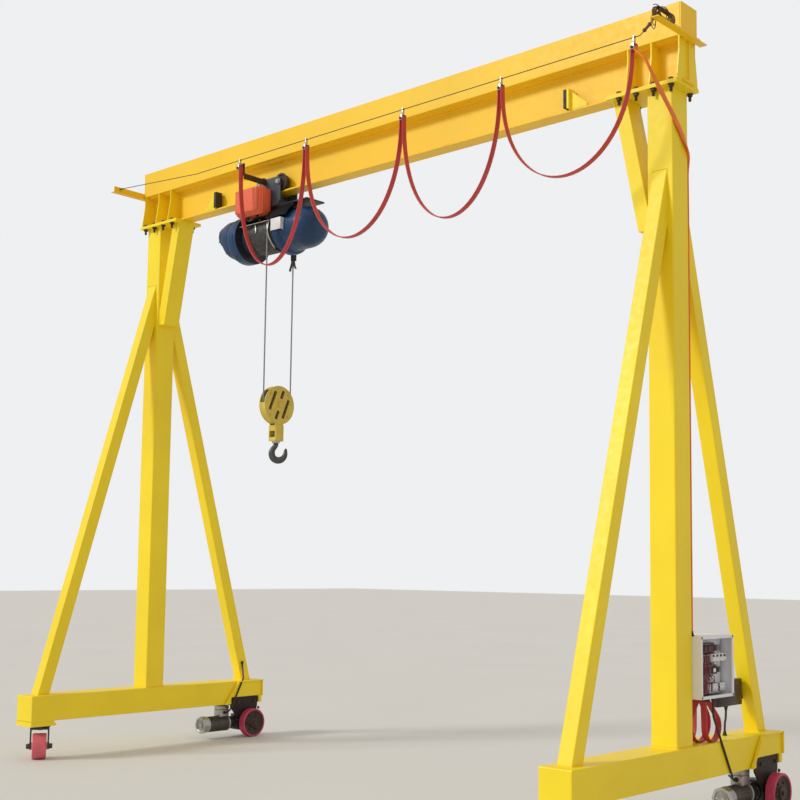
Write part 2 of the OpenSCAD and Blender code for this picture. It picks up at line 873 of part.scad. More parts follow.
lead_radius = 7;
lead_bend = 62;
lead_side = base_width / 2 + lead_radius + face_gap;
lead_over = lead_side + end_plate_thick;
terminal_z = drive_z + terminal_top - 60;
terminal_side = motor_x + terminal_half + face_gap;
right_corners = [
    [column_x + lead_side, 280, control_z - face_gap], [column_x + lead_side, 285, 660],
    [column_x + lead_side, 520, base_clear - 34], [column_x + motor_x, 640, base_clear - 34],
    [column_x + motor_x, drive_y + terminal_y[0] - 25, terminal_z],
    [column_x + motor_x, drive_y + terminal_y[0] - face_gap, terminal_z]
];
left_corners = [
    [brace_size / 2 + lead_radius + face_gap - column_x, 985, base_top + 168],
    [brace_size / 2 + lead_radius + face_gap - column_x, 990, base_top + 128],
    [lead_over - column_x, 945, base_top + 23],
    [lead_over - column_x, drive_y + terminal_y[0] + 50, terminal_z],
    [terminal_side - column_x, drive_y + terminal_y[0] + 50, terminal_z]
];
receiver_lead = [
    [column_x - 25, 700, receiver_z[0] - face_gap], [column_x - 25, 700, receiver_z[0] - 30],
    [column_x - 25, 696, receiver_z[0] - 75], [column_x - 25, 686, base_top + 80],
    [column_x - 25, 682, base_top + 40], [column_x - 25, 682, base_top + face_gap]
];

module motor_leads() {
    color("saddlebrown") {
        tube(rounded(right_corners, lead_bend), lead_radius, [1, 0, 0]);
        tube(rounded(left_corners, lead_bend), lead_radius, [0, 1, 0]);
        tube(receiver_lead, lead_radius, [1, 0, 0]);
    }
}

// Trolley

plate_y = beam_width / 2 + 22;
trolley_plate_thick = 12;
plate_outer_y = plate_y + trolley_plate_thick;
wheel_y = beam_width / 2 - 34;
wheel_face = 46;
axle_places = [trolley_x - trolley_base / 2, trolley_x + trolley_base / 2];
trolley_wheel_radius = trolley_wheel_dia / 2;
trolley_axle_z = run_top + trolley_wheel_radius + face_gap;
trolley_plate_bottom = beam_bottom - 110;
trolley_plate_end = 22;
stub_radius = 14;

module trolley_plate() {
    x0 = axle_places[0] - trolley_plate_end;
    x1 = axle_places[1] + trolley_plate_end;
    translate([0, plate_outer_y, 0]) rotate([90, 0, 0]) linear_extrude(trolley_plate_thick)
        polygon([
            [x0 + 30, trolley_plate_bottom], [x1 - 30, trolley_plate_bottom],
            [x1, trolley_plate_bottom + 40], [x1, trolley_axle_z + 20], [x1 - 25, trolley_axle_z + 45],
            [x0 + 25, trolley_axle_z + 45], [x0, trolley_axle_z + 20], [x0, trolley_plate_bottom + 40]
        ]);
    for (x = axle_places)
        translate([x, 0, trolley_axle_z]) along_y(wheel_y + 2, plate_y, stub_radius);
    block([trolley_x - 50, 0, beam_bottom - 60], [trolley_x + 50, plate_y, beam_bottom - 30]);
}

module trolley_plates() {
    color("dimgray") for (side = [0, 1]) mirror([0, side, 0]) trolley_plate();
}

module trolley_wheel(end, side) {
    translate([axle_places[end], 0, trolley_axle_z]) mirror([0, side, 0]) difference() {
        rotate([-90, 0, 0]) rotate_extrude() polygon([
            [0, wheel_y], [trolley_wheel_radius, wheel_y],
            [trolley_wheel_radius, wheel_y + wheel_face - 10],
            [trolley_wheel_radius + 10, wheel_y + wheel_face - 8],
            [trolley_wheel_radius + 10, wheel_y + wheel_face], [0, wheel_y + wheel_face]
        ]);
        along_y(wheel_y + 1.5, plate_y, stub_radius + shaft_gap);
    }
}

module trolley_wheel_1() { color("black") trolley_wheel(0, 1); }
module trolley_wheel_2() { color("black") trolley_wheel(1, 1); }
module trolley_wheel_3() { color("black") trolley_wheel(0, 0); }
module trolley_wheel_4() { color("black") trolley_wheel(1, 0); }

// Hoist: gearbox, drum and motor in one line, held by a frame under the trolley

gear_from = trolley_x - 575;
gear_to = trolley_x - 290;
motor_from = trolley_x + 95;
motor_to = trolley_x + 588;
hoist_top = trolley_plate_bottom - 13;
hoist_axis = hoist_top - housing_radius;
frame_short = 140;
rail_y = [70, 83];
rail_z = hoist_top - 60;
fall_x = trolley_x + 45;
fall_y = drum_radius + rope_dia / 2 + face_gap;
anchor_z = hoist_axis - housing_radius;

module hoist_frame() {
    color("black") {
        block([gear_to - 60, -plate_outer_y, hoist_top + face_gap],
              [motor_to - frame_short, plate_outer_y, trolley_plate_bottom]);
        block([axle_places[0], -plate_y, trolley_plate_bottom],
              [axle_places[1], plate_y, trolley_plate_bottom + 30]);
        for (side = [-1, 1])
            block([gear_to, side > 0 ? rail_y[0] : -rail_y[1], rail_z],
                  [motor_from, side > 0 ? rail_y[1] : -rail_y[0], hoist_top + face_gap]);
    }
}

module rope_anchor() {
    color("black") {
        block([fall_x - 20, rail_y[1], rail_z], [fall_x + 20, fall_y + 18, rail_z + 30]);
        block([fall_x - 20, fall_y + 8, anchor_z], [fall_x + 20, fall_y + 18, rail_z + 30]);
        block([fall_x - 16, fall_y - 12, anchor_z], [fall_x + 16, fall_y + 18, anchor_z + 50]);
    }
}

// Round housing turned from an outline of distance from the axis and place along it
module housing(outline) {
    color("midnightblue") translate([0, 0, hoist_axis]) rotate([0, 90, 0])
        rotate_extrude() polygon(outline);
}

module hoist_gearbox() {
    large = housing_radius;
    middle = housing_radius - 22;
    small = housing_radius - 50;
    housing([
        [0, gear_from], [small - 25, gear_from], [small - 8, gear_from + 8],
        [small, gear_from + 25], [small, gear_from + 78], [middle - 12, gear_from + 88],
        [middle - 2, gear_from + 100], [middle, gear_from + 120], [middle, gear_from + 165],
        [large - 6, gear_from + 172], [large, gear_from + 186], [large, gear_to], [0, gear_to]
    ]);
}

module hoist_motor() {
    flange = housing_radius - 9;
    shell = housing_radius - 21;
    housing([
        [0, motor_from], [flange, motor_from], [flange, motor_from + 172],
        [shell, motor_from + 184], [shell, motor_to - 175], [shell - 6, motor_to - 135],
        [shell - 24, motor_to - 85], [shell - 52, motor_to - 44], [shell - 88, motor_to - 16],
        [shell - 130, motor_to - 3], [0, motor_to]
    ]);
}

drum_end_gap = 6;

module rope_drum() {
    color("dimgray") translate([0, 0, hoist_axis])
        along_x(gear_to + drum_end_gap, motor_from - drum_end_gap, drum_radius);
}

// Two bars beside the drum that keep the rope on it
module rope_guide() {
    color("silver") translate([0, 0, hoist_axis])
        for (angle = [-27, -75])
            rotate([angle, 0, 0]) translate([0, -drum_radius - 35, 0])
                along_x(gear_to + face_gap, motor_from - face_gap, 4);
}

tow_reach = festoon_y - clamp_half - face_gap;
tow_top = trolley_axle_z + 40;

// Angle bar out to the tow clamp, with an upright tab against its side
module tow_arm() {
    color("black") {
        block([tow_x - 25, -tow_reach, tow_top - 6], [tow_x + 25, -plate_outer_y, tow_top]);
        block([tow_x + 19, -tow_reach, tow_top - 46], [tow_x + 25, -plate_outer_y, tow_top]);
        block([tow_x - 25, -tow_reach, tow_top - 6], [tow_x + 25, 6 - tow_reach, run_z - 20]);
    }
}

trolley_box_x = [trolley_x - 242, trolley_x + 50];
trolley_box_z = [trolley_plate_bottom - 78, trolley_plate_bottom + 147];
trolley_box_depth = 165;

// Box with a lid: three stepped rims run round its long edges
module trolley_box() {
    color("tomato") for (step = [[0, 0.45, 8], [0.45, 0.7, 0], [0.7, 1, 8]])
        block([trolley_box_x[0] + step[2], -plate_outer_y - trolley_box_depth * step[1],
               trolley_box_z[0] + step[2]],
              [trolley_box_x[1] - step[2], -plate_outer_y - trolley_box_depth * step[0],
               trolley_box_z[1] - step[2]]);
}

module rope_falls() {
    color("gray") for (side = [-1, 1]) translate([fall_x, side * fall_y, block_z])
        cylinder(r = rope_dia / 2, h = (side > 0 ? anchor_z : hoist_axis) - block_z);
}

// The part of the rope that passes under the sheave
module rope_bight() {
    color("gray") translate([fall_x, 0, block_z]) rotate([0, 90, 0])
        rotate([0, 0, -90]) rotate_extrude(angle = 180) translate([fall_y, 0])
            circle(r = rope_dia / 2, $fn = 32);
}

// Hook block

cover_thick = 8;
block_half = 34;
block_axle = 18;
boss_radius = 28;
guard_thick = 4;
guard_open = [4, 52];
slot_width = 13;
slots = [[-72, 32, 150], [28, 85, 56], [-24, -80, 60], [64, -28, 150]];
slot_lean = 22;
neck_size = [40, 42];
neck_bottom = block_z - 285;
neck_top = block_z - cover_radius - 7;
pocket = [32, neck_bottom + 30, neck_bottom + 80];
shank_radius = 20;

// One cheek of the block: a round plate with slanted slots and a strap down to the neck
module block_cover() {
    inner = block_half - cover_thick;
    difference() {
        union() {
            along_x(inner, block_half, cover_radius);
            block([inner, -neck_size[1], neck_top - block_z], [block_half, neck_size[1], 0]);
        }
        for (slot = slots)
            translate([0, slot[0], slot[1]]) rotate([-slot_lean, 0, 0])
                block([inner - cut, -slot_width / 2, -slot[2] / 2],
                      [block_half + cut, slot_width / 2, slot[2] / 2]);
    }
    along_x(inner, block_half + 8, boss_radius);
}

// Rim between the cheeks, open at the upper sides where the rope enters
module block_guard() {
    outer = cover_radius - 1;
    half = block_half - cover_thick + 1;
    for (arc = [[guard_open[1], 180 - 2 * guard_open[1]], [180 - guard_open[0], 180 + 2 * guard_open[0]]])
        rotate([90, 0, 90]) rotate([0, 0, arc[0]]) rotate_extrude(angle = arc[1])
            translate([outer - guard_thick, -half]) square([guard_thick, 2 * half]);
}

module block_covers() {
    color("goldenrod") translate([fall_x, 0, 0]) {
        translate([0, 0, block_z]) {
            block_cover();
            mirror([1, 0, 0]) block_cover();
            along_x(-block_half, block_half, block_axle);
            block_guard();
        }
        difference() {
            block([-neck_size[0], -neck_size[1], neck_bottom], [neck_size[0], neck_size[1], neck_top]);
            translate([0, 0, neck_bottom - cut]) cylinder(r = shank_radius + shaft_gap, h = 60);
            block([-pocket[0], -neck_size[1] - cut, pocket[1]], [pocket[0], neck_size[1] + cut, pocket[2]]);
        }
    }
}

sheave_floor = fall_y - rope_dia / 2 - face_gap;
sheave_rim = fall_y + 2;
sheave_half = block_half - cover_thick - 8;

// Grooved wheel: the rope lies on the groove's floor between the two rims
module block_sheave() {
    floor_half = rope_dia / 2 + 0.5;
    color("dimgray") translate([fall_x, 0, block_z]) rotate([0, 90, 0])
        rotate_extrude() polygon([
            [block_axle + shaft_gap, -sheave_half], [sheave_rim, -sheave_half],
            [sheave_rim, -floor_half - 4], [sheave_floor, -floor_half], [sheave_floor, floor_half],
            [sheave_rim, floor_half + 4], [sheave_rim, sheave_half],
            [block_axle + shaft_gap, sheave_half]
        ]);
}

hook_bowl_z = block_z - 380;
hook_nut = 27;
// Reach from the shank, height over the bowl's middle and radius of the hook's bar
hook_bar = [
    [0, 90, 15], [0, 74, 17], [-1, 62, 19], [-8, 50, 20], [-18, 38, 21], [-27, 22, 23],
    [-31, 4, 25], [-29, -16, 26], [-20, -36, 27], [-4, -50, 27], [16, -56, 27],
    [38, -53, 26], [56, -42, 24], [69, -25, 21], [75, -6, 18], [77, 10, 15],
    [78, 24, 12], [79, 36, 7]
];

module hook() {
    run = [for (bar = hook_bar) [bar[0], 0, bar[1]]];
    color("dimgray") translate([fall_x, 0, 0]) rotate([0, 0, hook_turn]) {
        translate([0, 0, pocket[1] + face_gap]) cylinder(r = hook_nut, h = 30);
        translate([0, 0, hook_bowl_z + 66]) cylinder(r = shank_radius, h = pocket[1] - hook_bowl_z - 56);
        translate([0, 0, hook_bowl_z]) skin([for (i = [0:len(hook_bar) - 1])
            let (u = cross(path_run(run, i), across) / norm(path_run(run, i)), v = across)
            [for (k = [0:15]) run[i] + hook_bar[i][2] * (cos(22.5 * k) * u + sin(22.5 * k) * v)]
        ]);
    }
}

girder_box();
girder_end_plates();
girder_web();
girder_flanges();
saddle_plates();
saddle_ribs();
leg_plates();
columns();
knee_braces();
side_braces();
base_beams();
caster_seats();
caster_plates();
caster_fork_left();
caster_fork_right();
caster_wheel_left();
caster_wheel_right();
drive_brackets();
drive_gearboxes();
drive_motors();
drive_hub_left();
drive_hub_right();
drive_tyre_left();
drive_tyre_right();
end_stops();
buffers();
wire_arms();
festoon_wire();
wire_tensioner();
spare_coil();
tow_clamp();
cable_clamp_1();
cable_clamp_2();
cable_clamp_3();
end_clamp();
festoon_cable();
cable_drop();
cable_bundle();
control_box();
contactors();
receiver_box();
motor_leads();
trolley_plates();
hoist_frame();
trolley_wheel_1();
trolley_wheel_2();
trolley_wheel_3();
trolley_wheel_4();
tow_arm();
trolley_box();
hoist_gearbox();
hoist_motor();
rope_anchor();
rope_drum();
rope_guide();
rope_falls();
rope_bight();
block_covers();
block_sheave();
hook();
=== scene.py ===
from math import acos, atan, atan2, copysign, cos, pi, radians, sin, sqrt, tan
import random

import bmesh
import bpy
from mathutils import Matrix, Vector


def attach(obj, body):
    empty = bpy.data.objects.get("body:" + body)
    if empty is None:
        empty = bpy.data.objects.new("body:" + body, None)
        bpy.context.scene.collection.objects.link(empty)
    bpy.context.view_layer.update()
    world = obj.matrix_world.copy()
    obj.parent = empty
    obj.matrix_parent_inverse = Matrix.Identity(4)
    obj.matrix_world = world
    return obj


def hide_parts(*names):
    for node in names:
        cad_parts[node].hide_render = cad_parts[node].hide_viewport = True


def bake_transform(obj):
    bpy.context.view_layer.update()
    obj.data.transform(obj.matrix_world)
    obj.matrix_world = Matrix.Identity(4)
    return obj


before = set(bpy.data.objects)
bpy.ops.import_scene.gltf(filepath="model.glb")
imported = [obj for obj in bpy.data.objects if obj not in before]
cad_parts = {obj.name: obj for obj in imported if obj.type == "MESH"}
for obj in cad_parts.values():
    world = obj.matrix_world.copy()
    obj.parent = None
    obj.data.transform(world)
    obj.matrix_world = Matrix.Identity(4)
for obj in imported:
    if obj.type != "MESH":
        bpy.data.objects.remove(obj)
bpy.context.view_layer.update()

random.seed(7)
X, Y, Z = Vector((1, 0, 0)), Vector((0, 1, 0)), Vector((0, 0, 1))

# ---------------------------------------------------------------- camera
yaw, pitch, roll = radians(41.4557), radians(5.6174), radians(0.6111)
ahead = Vector((-sin(yaw) * cos(pitch), cos(yaw) * cos(pitch), sin(pitch)))
right = Vector((cos(yaw), sin(yaw), 0))
up = right.cross(ahead)
right_r = right * cos(roll) + up * sin(roll)
up_r = up * cos(roll) - right * sin(roll)
camera_data = bpy.data.cameras.new("camera")
camera_data.sensor_width = 36
camera_data.lens = 1272.17 / 800 * 36
camera_data.shift_x = (400 - 432.25) / 800
camera_data.shift_y = (443.23 - 400) / 800
camera_data.clip_end = 400
camera = bpy.data.objects.new("camera", camera_data)
bpy.context.scene.collection.objects.link(camera)
turn = Matrix((right_r, up_r, -ahead)).transposed().to_4x4()
camera.matrix_world = Matrix.Translation((6.5533, -6.6839, 1.5282)) @ turn
bpy.context.scene.camera = camera
bpy.context.scene.view_settings.view_transform = "Standard"

# ---------------------------------------------------------------- sizes of the frame, in metres
CX = 2.564
GIRDER = 2.723
BEAM_TOP = 4.788
BEAM_BOTTOM = 4.508
LEG_TOP = 4.484
BASE_LOW = 0.296
BASE_TOP = 0.497
FALL_X = -1.0
FALL_Y = 0.1403
HOIST_Z = 4.190
BLOCK_Z = 2.8
AXLE_Z = 4.587
DRIVE_Y = 1.026
DRIVE_Z = 0.125
HANG_Z = 4.670
LEAD_TOP = 0.7697
FESTOON_Y = -0.350
CLAMPS = {"tow_clamp": -1.105, "clamp_1": -0.34006, "clamp_2": 0.6499, "clamp_3": 1.52699, "gantry": 2.548}


# ---------------------------------------------------------------- mesh helpers
def basis(axis):
    """Two directions square to an axis."""
    a = Vector(axis).normalized()
    u = a.cross(Z if abs(a.z) < 0.9 else Y).normalized()
    return a, u, a.cross(u)


class Shape:
    """Gathers points and faces of one piece."""

    def __init__(self):
        self.v, self.f = [], []

    def rings(self, rings, caps=True, closed=True):
        n, base = len(rings[0]), len(self.v)
        for ring in rings:
            self.v.extend(tuple(p) for p in ring)
        for i in range(len(rings) - 1):
            for c in range(n if closed else n - 1):
                a, b = base + n * i + c, base + n * i + (c + 1) % n
                self.f.append((a, b, b + n, a + n))
        if caps:
            self.f.append(tuple(range(base + n - 1, base - 1, -1)))
            last = base + n * (len(rings) - 1)
            self.f.append(tuple(range(last, last + n)))
        return self

    def lathe(self, outline, origin, axis, n=48):
        """Turned form: outline is (radius, distance along the axis)."""
        a, u, w = basis(axis)
        o = Vector(origin)
        return self.rings([
            [o + a * h + (u * cos(2 * pi * k / n) + w * sin(2 * pi * k / n)) * max(r, 1e-7)
             for k in range(n)] for r, h in outline])

    def cyl(self, p0, p1, r, n=24, bevel=0.0):
        axis = Vector(p1) - Vector(p0)
        h, b = axis.length, bevel
        return self.lathe([(r - b, 0), (r, b), (r, h - b), (r - b, h)] if b else [(r, 0), (r, h)], p0, axis, n)

    def ring_tube(self, p0, p1, inner, outer, n=32):
        """Ring with a hole through it."""
        h = (Vector(p1) - Vector(p0)).length
        base = len(self.v)
        self.lathe([(inner, 0), (outer, 0), (outer, h), (inner, h), (inner, 0)], p0, Vector(p1) - Vector(p0), n)
        self.f = self.f[:-2]
        return self

    def box(self, low, high, bevel=0.002, segments=2, turn=None, about=None):
        bm = bmesh.new()
        bmesh.ops.create_cube(bm, size=1)
        low, high = Vector(low), Vector(high)
        for p in bm.verts:
            p.co = Vector([(low[i] + high[i]) / 2 + p.co[i] * (high[i] - low[i]) for i in range(3)])
        if bevel:
            bmesh.ops.bevel(bm, geom=bm.edges[:] + bm.verts[:], offset=bevel, segments=segments,
                            profile=0.5, affect="EDGES")
        return self.take(bm, turn, about)

    def take(self, bm, turn=None, about=None):
        base = len(self.v)
        bm.verts.index_update()
        for p in bm.verts:
            co = p.co.copy()
            if turn is not None:
                co = turn @ (co - Vector(about)) + Vector(about)
            self.v.append(tuple(co))
        for face in bm.faces:
            self.f.append(tuple(base + p.index for p in face.verts))
        bm.free()
        return self

    def prism(self, outline, start, run, bevel=0.0015):
        """Plate with a given outline of points, as thick as run is long."""
        bm = bmesh.new()
        run = Vector(run)
        low = [bm.verts.new(Vector(p) + Vector(start)) for p in outline]
        high = [bm.verts.new(Vector(p) + Vector(start) + run) for p in outline]
        n = len(outline)
        bm.faces.new(low[::-1])
        bm.faces.new(high)
        for i in range(n):
            bm.faces.new((low[i], low[(i + 1) % n], high[(i + 1) % n], high[i]))
        if bevel:
            bmesh.ops.bevel(bm, geom=bm.edges[:], offset=bevel, segments=1, affect="EDGES")
        return self.take(bm)

    def sweep(self, points, n, radius):
        """Rings of n points along a path; radius takes the point's number, its distance and the angle."""
        pts = [Vector(p) for p in points]
        out, side, gone = [], None, 0.0
        for i, p in enumerate(pts):
            run = (pts[min(i + 1, len(pts) - 1)] - pts[max(i - 1, 0)]).normalized()
            if side is None:
                side = basis(run)[1]
            else:
                gone += (p - pts[i - 1]).length
            side = (side - run * side.dot(run)).normalized()
            other = run.cross(side)
            out.append([p + (side * cos(a) + other * sin(a)) * radius(i, gone, a)
                        for a in (2 * pi * k / n for k in range(n))])
        return self.rings(out)

    def tube(self, points, r, n=12):
        """Round tube; r is one radius or a list with one for each point."""
        for _ in points:
            random.random()  # not used; these draws shift the random numbers that the weld beads draw later
        return self.sweep(points, n, lambda i, gone, a: r[i] if isinstance(r, list) else r)

    def flat(self, points, widths, width, thick):
        """Flat cable with rounded edges through points; widths are the directions of its width."""
        pts = [Vector(p) for p in points]
        section, r = [], thick / 2
        for s in (1, -1):
            for k in range(5):
                a = pi * (k / 4 - s / 2)
                section.append((s * (width / 2 - r) + r * cos(a), r * sin(a)))
        out = []
        for i, p in enumerate(pts):
            run = (pts[min(i + 1, len(pts) - 1)] - pts[max(i - 1, 0)]).normalized()
            w = Vector(widths[i])
            w = (w - run * w.dot(run)).normalized()
            t = run.cross(w)
            out.append([p + w * a + t * b for a, b in section])
        return self.rings(out)

    def rope(self, points, r, lay=0.09, strands=6, n=24):
        """Laid rope: its section has strands that turn along it, once in a lay."""
        return self.sweep(points, n, lambda i, gone, a: r * (
            0.9 + 0.1 * abs(cos((a - 2 * pi * gone / lay) * strands / 2))))

    def hexagon(self, p, axis, across, h, chamfer=0.12):
        a, u, w = basis(axis)
        p, r = Vector(p), across / sqrt(3)
        ring = lambda rr, d: [p + a * d + (u * cos(k * pi / 3) + w * sin(k * pi / 3)) * rr
                              for k in range(6)]
        return self.rings([ring(r, 0), ring(r, h * (1 - chamfer)), ring(r * 0.9, h)])

    def bolt(self, p, axis, d, thread=0.0):
        """Washer, hexagon head or nut and, with a thread, the bolt's end standing out."""
        a = Vector(axis).normalized()
        p = Vector(p)
        self.cyl(p, p + a * d * 0.16, d * 1.05, 20)
        self.hexagon(p + a * d * 0.16, a, d * 1.6, d * 0.65)
        if thread:
            end = p + a * d * 0.7
            outline, h = [], 0.0
            while h < thread:
                outline += [(d * 0.5, h), (d * 0.44, h + d * 0.075)]
                h += d * 0.15
            self.lathe(outline + [(d * 0.4, h)], end, a, 14)
        return self

    def bead(self, points, r):
        """Weld bead: a rippled tube along a seam."""
        pts = []
        for i in range(len(points) - 1):
            a, b = Vector(points[i]), Vector(points[i + 1])
            n = max(2, int((b - a).length / (r * 1.3)))
            pts += [a.lerp(b, k / n) for k in range(n)]
        pts.append(Vector(points[-1]))
        radii = [r * (0.82 + 0.32 * (i % 2)) * (0.94 + 0.12 * random.random()) for i in range(len(pts))]
        return self.tube(pts, radii, 6)

    def piece(self, name, finish, body, stands_for=(), angle=32, merge=1e-5, slot=None):
        """Object of the gathered faces, on a body, with its finish; the slot argument is not used."""
        mesh = bpy.data.meshes.new(name)
        mesh.from_pydata(self.v, [], self.f)
        bm = bmesh.new()
        bm.from_mesh(mesh)
        bmesh.ops.remove_doubles(bm, verts=bm.verts, dist=merge)
        bmesh.ops.dissolve_degenerate(bm, edges=bm.edges, dist=1e-6)
        bmesh.ops.recalc_face_normals(bm, faces=bm.faces)
        sharp = radians(angle)
        for face in bm.faces:
            face.smooth = True
        for edge in bm.edges:
            edge.smooth = len(edge.link_faces) == 2 and edge.calc_face_angle(0) < sharp
        bm.to_mesh(mesh)
        bm.free()
        obj = bpy.data.objects.new(name, mesh)
        bpy.context.scene.collection.objects.link(obj)
        mesh.materials.append(FINISHES[finish])
        if body:
            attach(obj, body)
        slot = slot or MATERIALS[finish][0]
        if stands_for:
            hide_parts(*stands_for)
        return obj


def smooth_route(points, steps=4):
    """Points of one smooth curve through the given ones."""
    p = [Vector(q) for q in points]
    out = []
    for i in range(len(p) - 1):
        a, b, c, d = p[max(i - 1, 0)], p[i], p[i + 1], p[min(i + 2, len(p) - 1)]
        for k in range(steps):
            t = k / steps
            out.append(0.5 * ((2 * b) + (c - a) * t + (2 * a - 5 * b + 4 * c - d) * t * t
                              + (3 * b - a - 3 * c + d) * t ** 3))
    out.append(p[-1])
    return out


def rounded(corners, r, steps=8, gap=0.04):
    """Points along a path through corners, each inner one rounded to a bend of radius r."""
    p = [Vector(q) for q in corners]
    out = [p[0]]
    for i in range(1, len(p) - 1):
        a, b = (p[i] - p[i - 1]).normalized(), (p[i + 1] - p[i]).normalized()
        turn = acos(a.dot(b))
        aside = (b - a * a.dot(b)) / sin(turn)
        start = p[i] - a * r * tan(turn / 2)
        out += [start + ((1 - cos(turn * k / steps)) * aside + sin(turn * k / steps) * a) * r
                for k in range(steps + 1)]
    out.append(p[-1])
    fine = []
    for a, b in zip(out, out[1:]):
        n = max(1, round((b - a).length / gap))
        fine += [a.lerp(b, k / n) for k in range(n)]
    return fine + [out[-1]]


def circle(n, r, start=0.0):
    """Points (r cos a, r sin a) at n even steps, the first after start of a step."""
    return [(r * cos(2 * pi * (k + start) / n), r * sin(2 * pi * (k + start) / n))
            for k in range(n)]


def mirrored(*half):
    """Outline in millimetres that goes back along its mirror image."""
    return mm(*half) + [(r, -h) for r, h in mm(*half)[::-1]]


def mm(*pairs):
    """Outline of (radius, distance) points that are given in millimetres."""
    return [(r / 1000, h / 1000) for r, h in pairs]


# ---------------------------------------------------------------- materials
GRAIN_DEPTH = 0.0004


def material(name, base, rough=0.4, metal=0.0, vary=0.06, scale=2.5, bump=0.15, grain=300.0,
             spots=None, spot_size=9.0, spot_share=0.06, coat=0.0, stretch=(1, 1, 1), shine=0.5):
    """Procedural finish: broad colour variation, fine grain in bump and roughness, worn or dirty spots."""
    m = bpy.data.materials.new(name)
    m.use_nodes = True
    t = m.node_tree
    nodes, link = t.nodes, t.links.new
    shader = nodes["Principled BSDF"]
    shader.inputs["Metallic"].default_value = metal
    shader.inputs["Coat Weight"].default_value = coat
    shader.inputs["Coat Roughness"].default_value = 0.12
    shader.inputs["Specular IOR Level"].default_value = shine

    def new(kind, **values):
        """Node with values on its inputs; an underscore stands for a space."""
        n = nodes.new("ShaderNode" + kind)
        for socket, value in values.items():
            n.inputs[socket.replace("_", " ")].default_value = value
        return n

    place, mapping = new("TexCoord"), new("Mapping", Scale=stretch)
    link(place.outputs["Object"], mapping.inputs["Vector"])

    def noise(size, detail):
        n = new("TexNoise", Scale=size, Detail=detail)
        link(mapping.outputs["Vector"], n.inputs["Vector"])
        return n.outputs["Fac"]

    def spread(fac, low, high, to_low=0.0, to_high=1.0):
        r = new("MapRange", From_Min=low, From_Max=high, To_Min=to_low, To_Max=to_high)
        link(fac, r.inputs["Value"])
        return r.outputs["Result"]

    def blend(fac, a, b):
        """Mix of two colours, each a tuple or a node's output."""
        mix = nodes.new("ShaderNodeMix")
        mix.data_type = "RGBA"
        link(fac, mix.inputs["Factor"])
        for target, value in ((mix.inputs[6], a), (mix.inputs[7], b)):
            if isinstance(value, tuple):
                target.default_value = (*value, 1)
            else:
                link(value, target)
        return mix.outputs[2]

    dark = tuple(c * (1 - vary) for c in base)
    light = tuple(min(1.0, c * (1 + vary * 0.6)) for c in base)
    colour = blend(spread(noise(scale, 5), 0.3, 0.7), dark, light)
    fine = noise(grain, 3)
    if spots:
        patch = spread(noise(spot_size, 9), 0.5 + 0.5 * (0.5 - spot_share), 0.5 + 0.5 * (0.56 - spot_share))
        colour = blend(patch, colour, spots)
    link(colour, shader.inputs["Base Color"])
    worn = spread(noise(grain * 0.12 + 6, 4), 0.3, 0.7, max(0.03, rough - 0.07), rough + 0.09)
    link(worn, shader.inputs["Roughness"])
    b = new("Bump", Strength=bump, Distance=GRAIN_DEPTH)
    link(fine, b.inputs["Height"])
    link(b.outputs["Normal"], shader.inputs["Normal"])
    return m


